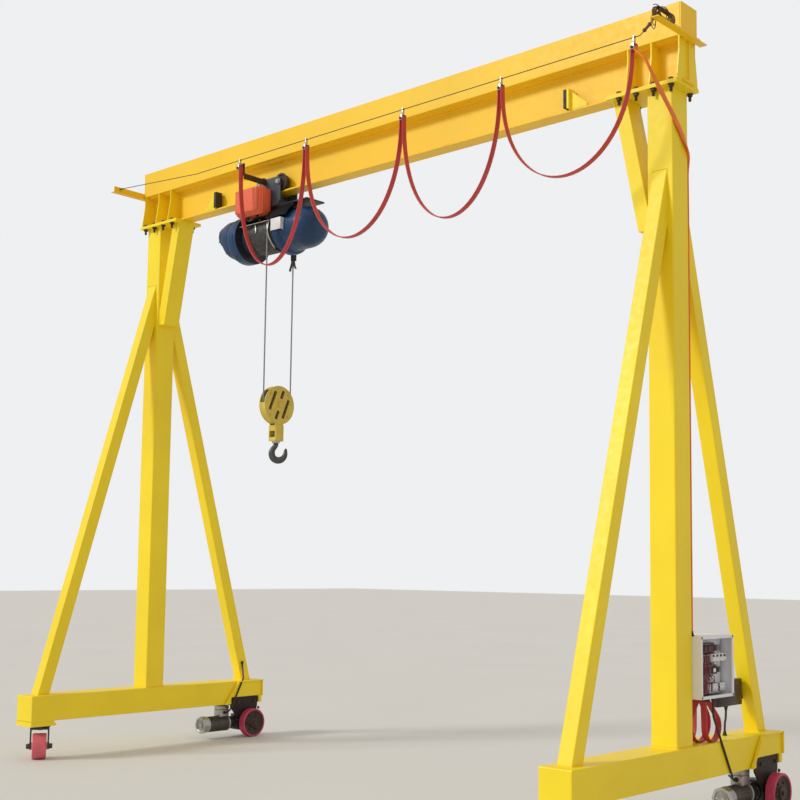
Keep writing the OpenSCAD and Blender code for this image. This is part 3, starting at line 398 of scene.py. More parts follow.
# name: (slot, colour, roughness, metal, variation, its scale, bump, grain, more)
MATERIALS = {
    "leg_yellow": ("yellow_paint", (0.98, 0.735, 0.008), 0.46, 0, 0.08, 1.4, 0.22, 160,
        dict(coat=0.06, spots=(0.6, 0.36, 0.02), spot_size=34, spot_share=0.03)),
    # girder_yellow_shaded is the legs' yellow paint made darker and more orange: painted shade on the girder,
    # which is lit less than the legs
    "girder_yellow_shaded": ("yellow_paint", (0.98, 0.6, 0.006), 0.46, 0, 0.07, 0.9, 0.22, 160,
        dict(coat=0.06, spots=(0.62, 0.34, 0.02), spot_size=30, spot_share=0.02)),
    "weld_yellow": ("yellow_paint", (0.98, 0.72, 0.02), 0.46, 0, 0.05, 40, 0.4, 500, {}),
    "block_yellow": ("yellow_paint", (0.66, 0.5, 0.07), 0.42, 0, 0.14, 14, 0.3, 220,
        dict(spots=(0.16, 0.1, 0.03), spot_size=60, spot_share=0.08)),
    "black_paint": ("black_paint", (0.018, 0.019, 0.02), 0.42, 0, 0.3, 12, 0.3, 240,
        dict(spots=(0.1, 0.095, 0.09), spot_size=70, spot_share=0.05)),
    "plate_blue": ("black_paint", (0.06, 0.082, 0.112), 0.45, 0, 0.18, 9, 0.3, 240, {}),
    "dark_steel": ("dark_steel", (0.075, 0.075, 0.08), 0.45, 0.5, 0.25, 22, 0.35, 300, {}),
    "bare_steel": ("bare_steel", (0.52, 0.52, 0.52), 0.36, 0.9, 0.15, 30, 0.25, 420, {}),
    "bolt_brown": ("dark_steel", (0.09, 0.055, 0.035), 0.5, 0.4, 0.3, 50, 0.4, 500, {}),
    "rope_steel": ("bare_steel", (0.3, 0.3, 0.3), 0.45, 0.7, 0.2, 60, 0.3, 700, {}),
    "hoist_navy": ("hoist_blue", (0.0045, 0.045, 0.135), 0.34, 0, 0.22, 4, 0.1, 180,
        dict(coat=0.2, shine=0.35)),
    "motor_alloy": ("motor_alloy", (0.5, 0.5, 0.49), 0.38, 0.75, 0.14, 16, 0.4, 420, {}),
    "motor_grey": ("motor_alloy", (0.15, 0.135, 0.125), 0.45, 0.3, 0.2, 16, 0.4, 420, {}),
    "tyre_red": ("red_polyurethane", (0.56, 0.05, 0.12), 0.42, 0, 0.14, 16, 0.25, 260,
        dict(spots=(0.34, 0.09, 0.08), spot_size=26, spot_share=0.07)),
    "caster_red": ("red_polyurethane", (0.7, 0.13, 0.16), 0.42, 0, 0.14, 16, 0.25, 260,
        dict(spots=(0.42, 0.14, 0.13), spot_size=26, spot_share=0.07)),
    "hub_brown": ("wheel_brown", (0.045, 0.022, 0.018), 0.4, 0.2, 0.25, 20, 0.35, 300, {}),
    "rubber": ("black_rubber", (0.028, 0.024, 0.022), 0.65, 0, 0.3, 30, 0.35, 420, {}),
    "cable_red": ("cable_red", (0.56, 0.05, 0.055), 0.45, 0, 0.14, 7, 0.25, 380, dict(stretch=(1, 2.5, 1))),
    "cable_orange": ("cable_red", (0.92, 0.19, 0.025), 0.45, 0, 0.14, 9, 0.25, 380, {}),
    "box_grey": ("box_grey", (0.84, 0.85, 0.9), 0.38, 0, 0.04, 6, 0.15, 260,
        dict(spots=(0.6, 0.58, 0.54), spot_size=24, spot_share=0.03)),
    "box_orange": ("box_orange", (0.86, 0.135, 0.055), 0.32, 0, 0.07, 9, 0.06, 120, dict(coat=0.35)),
    "contactor_dark": ("contactor_dark", (0.075, 0.022, 0.025), 0.5, 0, 0.2, 30, 0.3, 420, {}),
    "contactor_black": ("contactor_dark", (0.03, 0.03, 0.032), 0.5, 0, 0.2, 30, 0.3, 420, {}),
    "terminal_white": ("box_grey", (0.84, 0.84, 0.83), 0.45, 0, 0.08, 30, 0.2, 420, {}),
    "wire_maroon": ("cable_red", (0.21, 0.03, 0.04), 0.5, 0, 0.3, 30, 0.25, 380, {}),
    "receiver_black": ("receiver_black", (0.026, 0.013, 0.01), 0.28, 0, 0.2, 12, 0.25, 260, {}),
    "lead_black": ("lead_brown", (0.03, 0.024, 0.02), 0.5, 0, 0.2, 25, 0.25, 420, {}),
    "lead_brown": ("lead_brown", (0.14, 0.065, 0.03), 0.5, 0, 0.2, 25, 0.25, 420, {}),
    "cast_hook": ("cast_hook", (0.085, 0.087, 0.09), 0.42, 0.35, 0.25, 40, 0.5, 260,
        dict(spots=(0.17, 0.165, 0.16), spot_size=50, spot_share=0.1)),
    "arm_brown": ("black_paint", (0.05, 0.026, 0.014), 0.5, 0, 0.25, 18, 0.3, 300, {}),
    "drum_dark": ("dark_steel", (0.028, 0.029, 0.032), 0.42, 0.3, 0.3, 40, 0.3, 500, {}),
    # hood_black_shade: blacker and more matte than the black paint, partly painted shade on the motor's top
    "hood_black_shade": ("black_paint", (0.007, 0.0075, 0.008), 0.7, 0, 0.3, 12, 0.3, 240, dict(shine=0.15)),
    "bracket_brown": ("black_paint", (0.03, 0.017, 0.017), 0.5, 0, 0.3, 12, 0.3, 240, dict(shine=0.3)),
    "wire_brown": ("bare_steel", (0.1, 0.065, 0.04), 0.5, 0.3, 0.25, 40, 0.3, 500, {}),
    "wound_rope": ("bare_steel", (0.11, 0.11, 0.115), 0.45, 0.6, 0.35, 40, 0.3, 700, {}),
    "white_plate": ("box_grey", (0.74, 0.75, 0.77), 0.4, 0, 0.04, 20, 0.15, 300, {}),
    "floor_pale": (None, (0.7, 0.7, 0.69), 0.75, 0, 0.02, 0.6, 0.05, 40, {}),
}
FINISHES = {name: material(name, *row[1:-1], **row[-1]) for name, row in MATERIALS.items()}

# ---------------------------------------------------------------- the frame's own nodes: finish and softened edges
FINISH = {
    "girder_yellow_shaded": ["girder_box", "girder_end_plates", "girder_web", "girder_flanges", "wire_arms"],
    "leg_yellow": ["saddle_plates", "saddle_ribs", "leg_plates", "columns", "knee_braces", "side_braces",
                 "base_beams", "caster_seats", "end_stops"],
    "bracket_brown": ["drive_brackets"],
    "black_paint": ["hoist_frame", "rope_anchor"],
    "arm_brown": ["tow_arm"],
    "plate_blue": ["trolley_plates"],
    "dark_steel": ["caster_plates", "caster_fork_left", "caster_fork_right", "drive_gearboxes", "rope_drum",
                 "block_sheave"],
    "tyre_red": ["caster_wheel_left", "caster_wheel_right", "drive_tyre_left", "drive_tyre_right"],
    "hub_brown": ["drive_hub_left", "drive_hub_right"],
    "motor_grey": ["drive_motors"],
    "rubber": ["buffers", "trolley_wheel_1", "trolley_wheel_2", "trolley_wheel_3", "trolley_wheel_4"],
    "wire_brown": ["festoon_wire"],
    "bare_steel": ["rope_guide", "tow_clamp", "cable_clamp_1", "cable_clamp_2", "cable_clamp_3",
                 "end_clamp"],
    "rope_steel": ["rope_falls", "rope_bight"],
    "lead_brown": ["wire_tensioner", "motor_leads", "spare_coil"],
    "cable_red": ["festoon_cable", "cable_bundle"],
    "cable_orange": ["cable_drop"],
    "box_grey": ["control_box"],
    "contactor_dark": ["contactors"],
    "receiver_black": ["receiver_box"],
    "box_orange": ["trolley_box"],
    "hoist_navy": ["hoist_gearbox", "hoist_motor"],
    "block_yellow": ["block_covers"],
    "cast_hook": ["hook"],
}
SOFT_EDGE = {
    0.008: ["columns", "base_beams"], 0.006: ["side_braces"], 0.005: ["knee_braces"], 0.004: ["girder_box"],
    0.003: ["caster_seats", "buffers"], 0.0012: ["control_box"],
    0.002: ["girder_flanges", "girder_end_plates", "end_stops", "hoist_frame", "trolley_plates", "drive_brackets",
            "caster_fork_left", "caster_fork_right"],
    0.0015: ["saddle_plates", "leg_plates", "saddle_ribs", "tow_arm", "wire_arms", "rope_anchor", "block_covers",
             "caster_plates"]}
SOFT_EDGE = {name: width for width, names in SOFT_EDGE.items() for name in names}
for finish, names in FINISH.items():
    for name in names:
        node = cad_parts[name]
        node.data.materials.clear()
        node.data.materials.append(FINISHES[finish])
        for face in node.data.polygons:
            face.material_index = 0
        if name in SOFT_EDGE:
            weld = node.modifiers.new("weld", "WELD")
            weld.merge_threshold = 0.00002
            soft = node.modifiers.new("soft_edge", "BEVEL")
            soft.width = SOFT_EDGE[name]
            soft.segments = 2
            soft.limit_method = "ANGLE"
            soft.angle_limit = radians(38)
            soft.harden_normals = False

# ---------------------------------------------------------------- cords
FLAT_WIDE, FLAT_THICK = 0.042, 0.008
LEAD_R, WIRE_R, ROPE_R = 0.007, 0.003, 0.006
CLAMP_HALF = 0.012  # from a clamp's middle to where the cable leaves it


def flat_cable(name, route, widths, finish, body, stands_for):
    """Flat cable along a route; widths are the directions of its width."""
    cable = Shape().flat(route, widths, FLAT_WIDE, FLAT_THICK).piece(name, finish, body, stands_for, angle=60)
    return cable


# festoon: four loops of flat cable between the clamps
def loop_route(x0, x1, depth, steps=36):
    out = []
    for k in range(steps + 1):
        t = k / steps
        out.append((x0 + (x1 - x0) * (0.5 - 0.5 * cos(pi * t)), FESTOON_Y,
                    HANG_Z - depth * sin(pi * t) ** 0.9))
    return out


hold = list(CLAMPS.items())
for k, depth in enumerate((0.840, 0.770, 0.790, 0.695)):
    (a, xa), (b, xb) = hold[k], hold[k + 1]
    xa, xb = xa + CLAMP_HALF, xb - CLAMP_HALF
    route = loop_route(xa, xb, depth)
    loop = flat_cable(f"festoon_loop_{k + 1}", route, [Y] * len(route), "cable_red", None, ["festoon_cable"])
    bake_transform(loop)

# flat cable from the last clamp over the column's side and down its back to the control box
face_x, back_y, drop_x = CX + 0.0983, 0.0943, CX + 0.072
drop_route = smooth_route([
    (2.560, -0.350, 4.670), (2.560, -0.350, 4.648), (2.590, -0.350, 4.616), (2.625, -0.349, 4.574),
    (2.655, -0.340, 4.505), (face_x + 0.002, -0.283, 4.438), (face_x + 0.002, -0.189, 4.362),
    (face_x + 0.002, -0.094, 4.286), (face_x + 0.002, -0.010, 4.210), (face_x, 0.060, 4.130),
    (face_x - 0.024, back_y + 0.008, 4.050), (drop_x, back_y, 3.970), (drop_x, back_y, 3.810),
    (drop_x, back_y, 2.500), (drop_x, back_y, 1.1423)], 3)
drop_widths = []
for p in drop_route:
    if p.z < 3.99:
        turned = 1
    else:
        turned = min(max((p.y - 0.03) / (back_y - 0.03), 0), 1) if p.z < 4.2 else 0
    drop_widths.append(Vector((-sin(turned * pi / 2), cos(turned * pi / 2), 0)))
flat_cable("flat_drop", drop_route, drop_widths, "cable_orange", "gantry", ["cable_drop"])


# spare flat cable: loops hung from the control box down to the base beam
def bundle_route(x, middle, radius):
    top, r, big = Vector((x, 0.272, 0.7477)), 0.018, radius - 0.004
    low = Vector((x, middle, BASE_TOP + 0.0003 + radius))
    gap = low - top
    base, reach = atan2(gap.z, gap.y), acos((r - big) / gap.length)
    point = lambda c, a, rr: c + Vector((0, cos(a), sin(a))) * rr
    start, end = point(top, base - reach, r), point(top, base + reach, r)
    arc = [point(low, base - reach + 2 * reach * k / 14, big) for k in range(15)]
    down = [start.lerp(arc[0], f) for f in (0.33, 0.66)]
    back = [arc[-1].lerp(end, f) for f in (0.33, 0.66)]
    return [Vector((x, start.y, LEAD_TOP)), start] + down + arc + back + [end, Vector((x, end.y, LEAD_TOP))]


BUNDLE = [bundle_route(CX + dx, middle, radius)
          for dx, middle, radius in ((-0.019, 0.200, 0.090), (0.025, 0.272, 0.112), (0.069, 0.346, 0.090))]
for k, route in enumerate(BUNDLE):
    flat_cable(f"spare_loop_{k + 1}", route, [X] * len(route), "cable_red", "gantry", ["cable_bundle"])

# leads to the drive motors and to the receiver
side = 0.109 + 0.0073
over = side + 0.012
LEADS = {
    "right_drive_lead": rounded([
        (CX + side, 0.280, LEAD_TOP), (CX + side, 0.285, 0.660), (CX + side, 0.520, 0.262),
        (CX + 0.020, 0.640, 0.262), (CX + 0.020, 0.715, 0.222), (CX + 0.020, 0.7397, 0.222)], 0.062),
    "left_drive_lead": rounded([
        (0.0573 - CX, 0.985, 0.665), (0.0573 - CX, 0.990, 0.625), (over - CX, 0.945, 0.520),
        (over - CX, 0.790, 0.222), (0.0623 - CX, 0.790, 0.222)], 0.062),
    "receiver_lead": smooth_route([(CX - 0.025, y, z) for y, z in (
        (0.700, 0.6797), (0.700, 0.650), (0.696, 0.605), (0.686, 0.577), (0.682, 0.537), (0.682, 0.4973))], 3),
}


def taper(shape, start, run, aside, sizes):
    """Sleeve that narrows along a lead; sizes are (share of the way, half width, half depth)."""
    a, b = Vector(start), Vector(start) + run
    run = (b - a).normalized()
    u = (aside - run * run.dot(aside)).normalized()
    w = run.cross(u)
    rings = []
    for share, wide, deep in sizes:
        q = 0.5 if wide > deep * 1.5 else 1.0
        rings.append([a.lerp(b, share) + u * wide * copysign(abs(c) ** q, c)
                      + w * deep * copysign(abs(d) ** q, d) for c, d in circle(24, 1)])
    shape.rings(rings)


ROUND = [(0, 0.0150), (0.12, 0.0155), (0.20, 0.0125), (0.30, 0.0130), (0.38, 0.0108), (0.50, 0.0112),
         (0.58, 0.0094), (0.72, 0.0098), (0.80, 0.0084), (1, 0.0080)]
ROUND = [(share, r, r) for share, r in ROUND]
FLAT = [(0, 0.0285, 0.0105), (0.15, 0.0290, 0.0110), (0.24, 0.0250, 0.0080), (0.45, 0.0240, 0.0070),
        (0.60, 0.0228, 0.0060), (1, 0.0218, 0.0048)]
sleeves = Shape()
for routes, length, sizes in ((LEADS.values(), 0.028, ROUND), (BUNDLE, 0.024, FLAT)):
    for route in routes:
        for end, along in ((route[0], route[1]), (route[-1], route[-2])):
            go = (Vector(along) - Vector(end)).normalized()
            taper(sleeves, end, go * length, X if abs(go.x) < 0.7 else Y, sizes)
taper(sleeves, drop_route[-1], Z * 0.030, X, FLAT)
sleeves.piece("lead_sleeves", "rubber", "gantry")
for name, route in LEADS.items():
    lead = Shape().tube(route, LEAD_R).piece(name, "lead_black", "gantry", ["motor_leads"])

# spare end of the wire, coiled in the right arm: long loops with round ends
COIL_STEPS, COIL_END, COIL_SHIFT, COIL_BEND = 18, 14, 0.077, 0.028
coil_route = []
for k in range(163):
    part = k % COIL_STEPS
    s = -1 if k // COIL_STEPS % 2 else 1
    a = -s * pi / 2 + pi * min(part, COIL_END) / COIL_END
    shift = s * COIL_SHIFT * (1 - 2 * max(part - COIL_END, 0) / (COIL_STEPS - COIL_END))
    coil_route.append(Vector((2.7323 + 0.0075 * k / (2 * COIL_STEPS), -0.342 + shift + COIL_BEND * cos(a),
                              4.8103 + COIL_BEND * sin(a))))
coil = Shape().tube(coil_route, WIRE_R, 8).piece("wire_coil", "lead_brown", "gantry", ["spare_coil"])
# more turns of the wire: some lie in the arm, two hang over its upright leg, and two tails stick out
more, steps = [], [pi * i / 20 for i in range(41)]
for k in range(6):
    wide, high = 0.056 + 0.016 * sin(1.9 * k), 0.032 + 0.004 * cos(2.7 * k)
    tilt = 0.16 * sin(3.1 * k)
    loop = []
    for a in steps:
        y, z = wide * cos(a), high * (1 + sin(a)) + 0.0012 * sin(3 * a + k)
        loop.append((2.7455 + 0.004 * k + 0.0012 * sin(2 * a + k),
                     -0.352 + 0.012 * cos(1.7 * k) + y + tilt * z, 4.7828 + z + max(0.0, tilt * y) * 0.5))
    more.append(loop)
for y, half, deep in ((-0.404, 0.026, 0.0545), (-0.398, 0.020, 0.0425)):
    more.append([(2.7165 + 0.0105 * max(0.0, sin(a)) ** 12, y + half * cos(a),
                  4.8268 - deep + deep * sin(a)) for a in steps])
for tail in ([(2.748, -0.372, 4.842), (2.752, -0.405, 4.850), (2.756, -0.438, 4.846), (2.752, -0.462, 4.835)],
             [(2.756, -0.384, 4.792), (2.760, -0.420, 4.797), (2.757, -0.452, 4.806), (2.760, -0.476, 4.802)]):
    more.append(smooth_route(tail, 5))
wire_turns = Shape()
for loop in more:
    wire_turns.tube(loop, 0.0026, 8)
wire_turns.piece("wire_turns", "lead_brown", "gantry")

# hoist rope: two falls and the bight under the sheave
for name, s, top in (("near_fall", -1, HOIST_Z), ("far_fall", 1, 3.995)):
    route = [(FALL_X, s * FALL_Y, top + (BLOCK_Z - top) * k / 150) for k in range(151)]
    fall = Shape().rope(route, ROPE_R).piece(name, "rope_steel", None, angle=70)
    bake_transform(fall)
    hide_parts("rope_falls")
bight = [(FALL_X, -FALL_Y * cos(pi * k / 60), BLOCK_Z - FALL_Y * sin(pi * k / 60))
         for k in range(61)]
Shape().rope(bight, ROPE_R).piece("rope_under_sheave", "rope_steel", "hook_block", ["rope_bight"], angle=70)

# ---------------------------------------------------------------- bolts and welds of the frame
bolts = Shape()
for s in (-1, 1):
    for x in (2.285, 2.41, 2.535, 2.66):
        for y in (-0.112, 0.112):
            bolts.bolt((s * x, y, LEG_TOP), -Z, 0.020, 0.030)
            bolts.bolt((s * x, y, BEAM_BOTTOM), Z, 0.020)
bolts.piece("saddle_bolts", "bolt_brown", "gantry")


def seam(x0, x1, y0, y1, z=0.0):
    """Closed path round a level rectangle."""
    return [(x0, y0, z), (x1, y0, z), (x1, y1, z), (x0, y1, z), (x0, y0, z)]


COLUMN_HALF, BRACE_HALF, BRACE_FOOT, BRACE_HEAD = 0.0905, 0.0505, 1.040, 3.790
lean = atan((BRACE_FOOT - 0.090) / (BRACE_HEAD - BASE_TOP))
foot, head = 0.050 / cos(lean), 0.050 / sin(lean)
beads = Shape()
for sx in (-1, 1):
    cx = sx * CX
    for z in (BASE_TOP, LEG_TOP):
        beads.bead(seam(cx - COLUMN_HALF, cx + COLUMN_HALF, -COLUMN_HALF, COLUMN_HALF, z), 0.0045)
    x0, x1 = cx - BRACE_HALF, cx + BRACE_HALF
    for sy in (-1, 1):
        beads.bead(seam(x0, x1, sy * (BRACE_FOOT - foot), sy * (BRACE_FOOT + foot), BASE_TOP), 0.004)
        upright = seam(x0, x1, BRACE_HEAD - head, BRACE_HEAD + head)[::-1]
        beads.bead([(x, sy * COLUMN_HALF, z) for x, z, _ in upright], 0.004)
    # knee brace: at the column and under the plate
    x, y = sx * (CX - COLUMN_HALF), 0.078
    beads.bead([(x, -y, 3.93), (x, -y, 3.61), (x, y, 3.61), (x, y, 3.93)], 0.004)
    k0, k1 = sx * 2.2206, sx * 2.3186
    for a, b in (((k0, -y), (k1, -y)), ((k0, y), (k1, y)), ((k0, -y), (k0, y))):
        beads.bead([(*a, LEG_TOP), (*b, LEG_TOP)], 0.004)
    # ribs on the saddle plate and against the web
    for rib in (GIRDER - 0.018, CX - 0.055, CX - 0.225):
        for sy in (-1, 1):
            for x in (sx * rib - 0.0053, sx * rib + 0.0053):
                beads.bead([(x, sy * 0.062, BEAM_BOTTOM), (x, sy * 0.119, BEAM_BOTTOM)], 0.003)
                beads.bead([(x, sy * 0.0048, BEAM_BOTTOM + 0.026), (x, sy * 0.0048, 4.764)], 0.003)
    # caster seat and base beam
    for x in (cx - 0.109, cx + 0.109):
        beads.bead([(x, -1.170, BASE_LOW), (x, -0.975, BASE_LOW)], 0.0035)
    beads.bead([(cx + 0.1215, 0.7450, 0.299), (cx + 0.1215, 0.8905, 0.495)], 0.003)
for sy in (-1, 1):
    beads.bead([(-GIRDER + 0.01, sy * 0.0612, BEAM_TOP), (GIRDER - 0.01, sy * 0.0612, BEAM_TOP)], 0.004)
beads.piece("weld_beads", "weld_yellow", "gantry", merge=1e-6, angle=80)

# ribs that frame the driven end of each base beam: slanted one, top lip and end plate
ends = Shape()
for s in (-1, 1):
    x0 = s * CX + 0.1208
    x1 = x0 + 0.016
    ends.prism([(x0, 0.7465, 0.2975), (x1, 0.7465, 0.2975), (x1, 0.8925, 0.4965), (x0, 0.8925, 0.4965)],
               (0, 0, 0), (0, 0.012, 0))
    ends.box((x0, 0.8930, 0.4880), (x1, 1.1745, 0.4968), 0.0012)
    ends.box((x0, 1.1640, 0.3565), (x1, 1.1745, 0.4960), 0.0012)
ends.piece("end_ribs", "leg_yellow", "gantry")

# ---------------------------------------------------------------- festoon clamps
ARCH = [pi * k / 14 for k in range(15)]
CLAMP_NODES = ("tow_clamp", "cable_clamp_1", "cable_clamp_2", "cable_clamp_3", "end_clamp")
for (body, x), node in zip(CLAMPS.items(), CLAMP_NODES):
    y, z = FESTOON_Y, HANG_Z
    # half width, then from and to across and up, then bevel; the roller comes after the third
    parts = [(13, -24, -21.6, -21, 20, 0.8), (13, 21.6, 24, -21, 20, 0.8), (7.2, -22, 22, -21, 1, 2),
             (13, -24, 24, 16.8, 20.4, 0.8), (6, -10, 10, 20, 56.5, 1.5), (7.5, -10, -3.4, 56, 70, 1.2),
             (7.5, 3.4, 10, 56, 70, 1.2), (7.5, -4, 4, 64.5, 69.8, 0.8)]
    c = Shape()
    for i, part in enumerate(parts):
        wide, y0, y1, z0, z1, bevel = (v / 1000 for v in part)
        c.box((x - wide, y + y0, z + z0), (x + wide, y + y1, z + z1), bevel)
        if i == 2:
            c.cyl((x, y - 0.022, z), (x, y + 0.022, z), 0.0076)
    for e in (-0.009, 0.009):
        c.bolt((x + e, y, z + 0.0204), Z, 0.0045)
    c.piece(f"{node}_plates", "bare_steel", body, [node])
    outline = mm((4, 0), (8.5, 1), (9.5, 5), (7.5, 9), (3, 10.5), (0, 10.6))
    knob = Shape().lathe(outline, (x, y - 0.0238, z - 0.008), -Y, 20)
    knob.hexagon((x, y + 0.0240, z - 0.008), Y, 0.009, 0.0012)
    knob.piece(f"{node}_knob", "rubber", body)
    arch = [(x - CLAMP_HALF * cos(a), y, z + 0.0003 + CLAMP_HALF * sin(a)) for a in ARCH]
    Shape().flat(arch, [Y] * 15, FLAT_WIDE, FLAT_THICK).piece(f"{node}_cable", "cable_red", body, angle=60)

# ---------------------------------------------------------------- hoist
housing = Shape()
for rise, outline in (
        (0.0, mm((0, -1448), (168, -1448), (181, -1444), (190, -1436), (194.5, -1424), (195, -1410),
                 (195, -1366), (192.5, -1364), (192.5, -1357), (195, -1355), (195, -1338), (193, -1335),
                 (0, -1335))),
        (0.028, mm((0, -1572), (128, -1572), (144, -1568), (154, -1559), (160, -1543), (160, -1490),
                   (158, -1488), (158, -1481), (160, -1479), (160, -1440), (0, -1440))),
        (0.068, mm((0, -1688), (46, -1688), (70, -1684), (86, -1675), (96, -1660), (101, -1640), (102, -1618),
                   (108, -1614), (112, -1608), (112, -1590), (109, -1587), (107, -1583), (108, -1565),
                   (0, -1565)))):
    housing.lathe(outline, (0, 0, HOIST_Z + rise), X, 96)
housing.piece("hoist_gear_housing", "hoist_navy", "trolley", ["hoist_gearbox"], angle=28)
Shape().lathe(mm((142, -1335.2), (190.5, -1335.2), (190.5, -1334), (142, -1334), (142, -1335.2)),
              (0, 0, HOIST_Z), X, 96).piece("gear_side_ring", "drum_dark", "trolley", angle=28)
shell = mm((0, -898), (188, -898), (190, -896), (190, -866), (188, -856), (183, -847), (171, -841),
           (166, -834), (163.5, -822), (163.5, -745), (162, -743), (162, -738), (163.5, -736), (163.5, -690),
           (162, -665), (157, -640), (149, -616), (138, -594), (124, -574), (107, -557), (88, -545),
           (66, -537), (40, -532), (15, -530), (0, -530))
Shape().lathe(shell, (0, 0, HOIST_Z), X, 96).piece("hoist_motor_shell", "hoist_navy", "trolley",
                                                   ["hoist_motor"], angle=28)
Shape().lathe(mm((20, -953.5), (148, -953.5), (151, -951), (151, -942), (146, -938), (146, -900), (152, -896),
                 (20, -896)), (0, 0, HOIST_Z), X, 72).piece("drum_bearing", "drum_dark", "trolley", angle=28)
fasten = Shape()
for a, b in circle(12, 0.172, 0.5):
    fasten.bolt((-0.898, a, HOIST_Z + b), -X, 0.009)
for rise, r, x, n in ((0.0, 0.178, -1.4440, 14), (0.028, 0.142, -1.5680, 10), (0.068, 0.079, -1.6795, 6)):
    for a, b in circle(n, r, 0.5):
        fasten.hexagon((x, a, HOIST_Z + rise + b), -X, 0.012, 0.007)
fasten.piece("hoist_flange_bolts", "bolt_brown", "trolley")

# drum: grooves along its length, rope wound on the part next to the near fall
DRUM_R, PITCH, WOUND, STEPS = 0.134, 0.013, 15, 40
END_R, BORE_R = DRUM_R - 1e-4, 0.02
grooved = [(BORE_R, -1.329), (END_R, -1.329), (END_R, -1.318)]
x = -1.316
while x < -0.966:
    grooved += [(DRUM_R - deep, x + along)
                for deep, along in ((0, 0), (0.0022, 0.0033), (0.003, 0.0065), (0.0022, 0.0097))]
    x += PITCH
grooved += [(DRUM_R, x), (END_R, -0.962), (END_R, -0.956), (BORE_R, -0.956)]
Shape().lathe(grooved, (0, 0, HOIST_Z), X, 72).piece("grooved_drum", "drum_dark", "drum", ["rope_drum"], angle=50)
helix = []
for k in range(WOUND * STEPS + 1):
    a = 2 * pi * k / STEPS
    helix.append((FALL_X - PITCH * k / STEPS, -FALL_Y * cos(a), HOIST_Z + FALL_Y * sin(a)))
Shape().tube(helix, ROPE_R, 8).piece("drum_rope", "wound_rope", "drum", angle=70)

# rope guide: bars across, a short finger and two strips that curve over the windings
guide = Shape()
for a in (-27, -75):
    y, z = -0.169 * cos(radians(a)), HOIST_Z - 0.169 * sin(radians(a))
    guide.cyl((-1.3347, y, z), (-0.9503, y, z), 0.004, 16)
guide.piece("guide_bars", "bare_steel", "trolley", ["rope_guide"])
strips = Shape()
for x, lean_x, low, high, w in ((-1.150, 0.028, -2, 27, 0.010), (-1.040, 0.075, -55, 60, 0.009),
                                (-0.985, 0.010, -60, 58, 0.009)):
    arc = []
    for k in range(21):
        f = k / 20
        a = radians(high + (low - high) * f)
        arc.append((x + lean_x * f * (2 - f), -0.1595 * cos(a), HOIST_Z + 0.1595 * sin(a)))
    strips.flat(arc, [X] * 21, w, 0.003)
strips.piece("guide_strips", "bare_steel", "trolley")

# bare plate beside the motor, bent back to the housing
plate = Shape().box((-0.900, -0.1970, 4.158), (-0.788, -0.1940, 4.253), 0.001)
plate.box((-0.790, -0.1968, 4.158), (-0.787, -0.150, 4.253), 0.001)
for px in (-0.892, -0.796):
    for pz in (4.166, 4.245):
        plate.lathe([(0.0035, 0), (0.0035, 0.001), (0.002, 0.0018), (0, 0.002)], (px, -0.1970, pz), -Y, 12)
plate.piece("bare_plate", "white_plate", "trolley")

# electrical box: lid, two stepped ribs and screws
box = Shape()
x0, x1, z0, z1 = -1.287, -0.995, 4.320, 4.545
for inset, front, back, bevel, n in ((0.008, -0.169, -0.095, 0.022, 5), (0.004, -0.189, -0.155, 0.014, 4),
                                     (0, -0.2105, -0.1805, 0.012, 4), (0.006, -0.232, -0.200, 0.013, 4),
                                     (0.014, -0.260, -0.220, 0.018, 5)):
    box.box((x0 + inset, front, z0 + inset), (x1 - inset, back, z1 - inset), bevel, n)
for px in (x0 + 0.035, x1 - 0.035):
    for pz in (z0 + 0.035, z1 - 0.035):
        box.lathe([(0.007, 0), (0.007, 0.003), (0.005, 0.0045), (0, 0.005)], (px, -0.2595, pz), -Y, 16)
box.piece("electrical_box", "box_orange", "trolley", ["trolley_box"])
gland = Shape()
for x in (-1.20, -1.09):
    gland.cyl((x, -0.175, z0 + 0.008), (x, -0.175, z0 - 0.018), 0.013, 12, 0.002)
gland.piece("box_glands", "rubber", "trolley")

# trolley wheels: flange, tread, hub with cap
for n, (wx, s) in enumerate(((-1.155, -1), (-0.935, -1), (-1.155, 1), (-0.935, 1))):
    w = mm((14.1, 1.5), (60, 0.5), (63.5, 0), (65, 1.5), (65, 34), (66.5, 36), (73.5, 38.5), (75, 40.5),
           (75, 44.5), (73.5, 46), (58, 46), (52, 40), (34, 40), (28, 44.5), (26, 46), (14.1, 46))
    node = f"trolley_wheel_{n + 1}"
    Shape().lathe(w, (wx, s * 0.027, AXLE_Z), Y * s, 64).piece(
        f"wheel_{n + 1}", "hub_brown", node, [node], angle=28, slot="black_paint")
trolley_bolts = Shape()
for s in (-1, 1):
    for wx in (-1.155, -0.935):
        trolley_bolts.bolt((wx, s * 0.095, AXLE_Z), Y * s, 0.022, 0.006)
for wx in (-1.12, -1.045, -0.97):
    trolley_bolts.bolt((wx, 0.095, 4.412), Y, 0.014, 0.004)
trolley_bolts.piece("trolley_bolts", "bare_steel", "trolley")
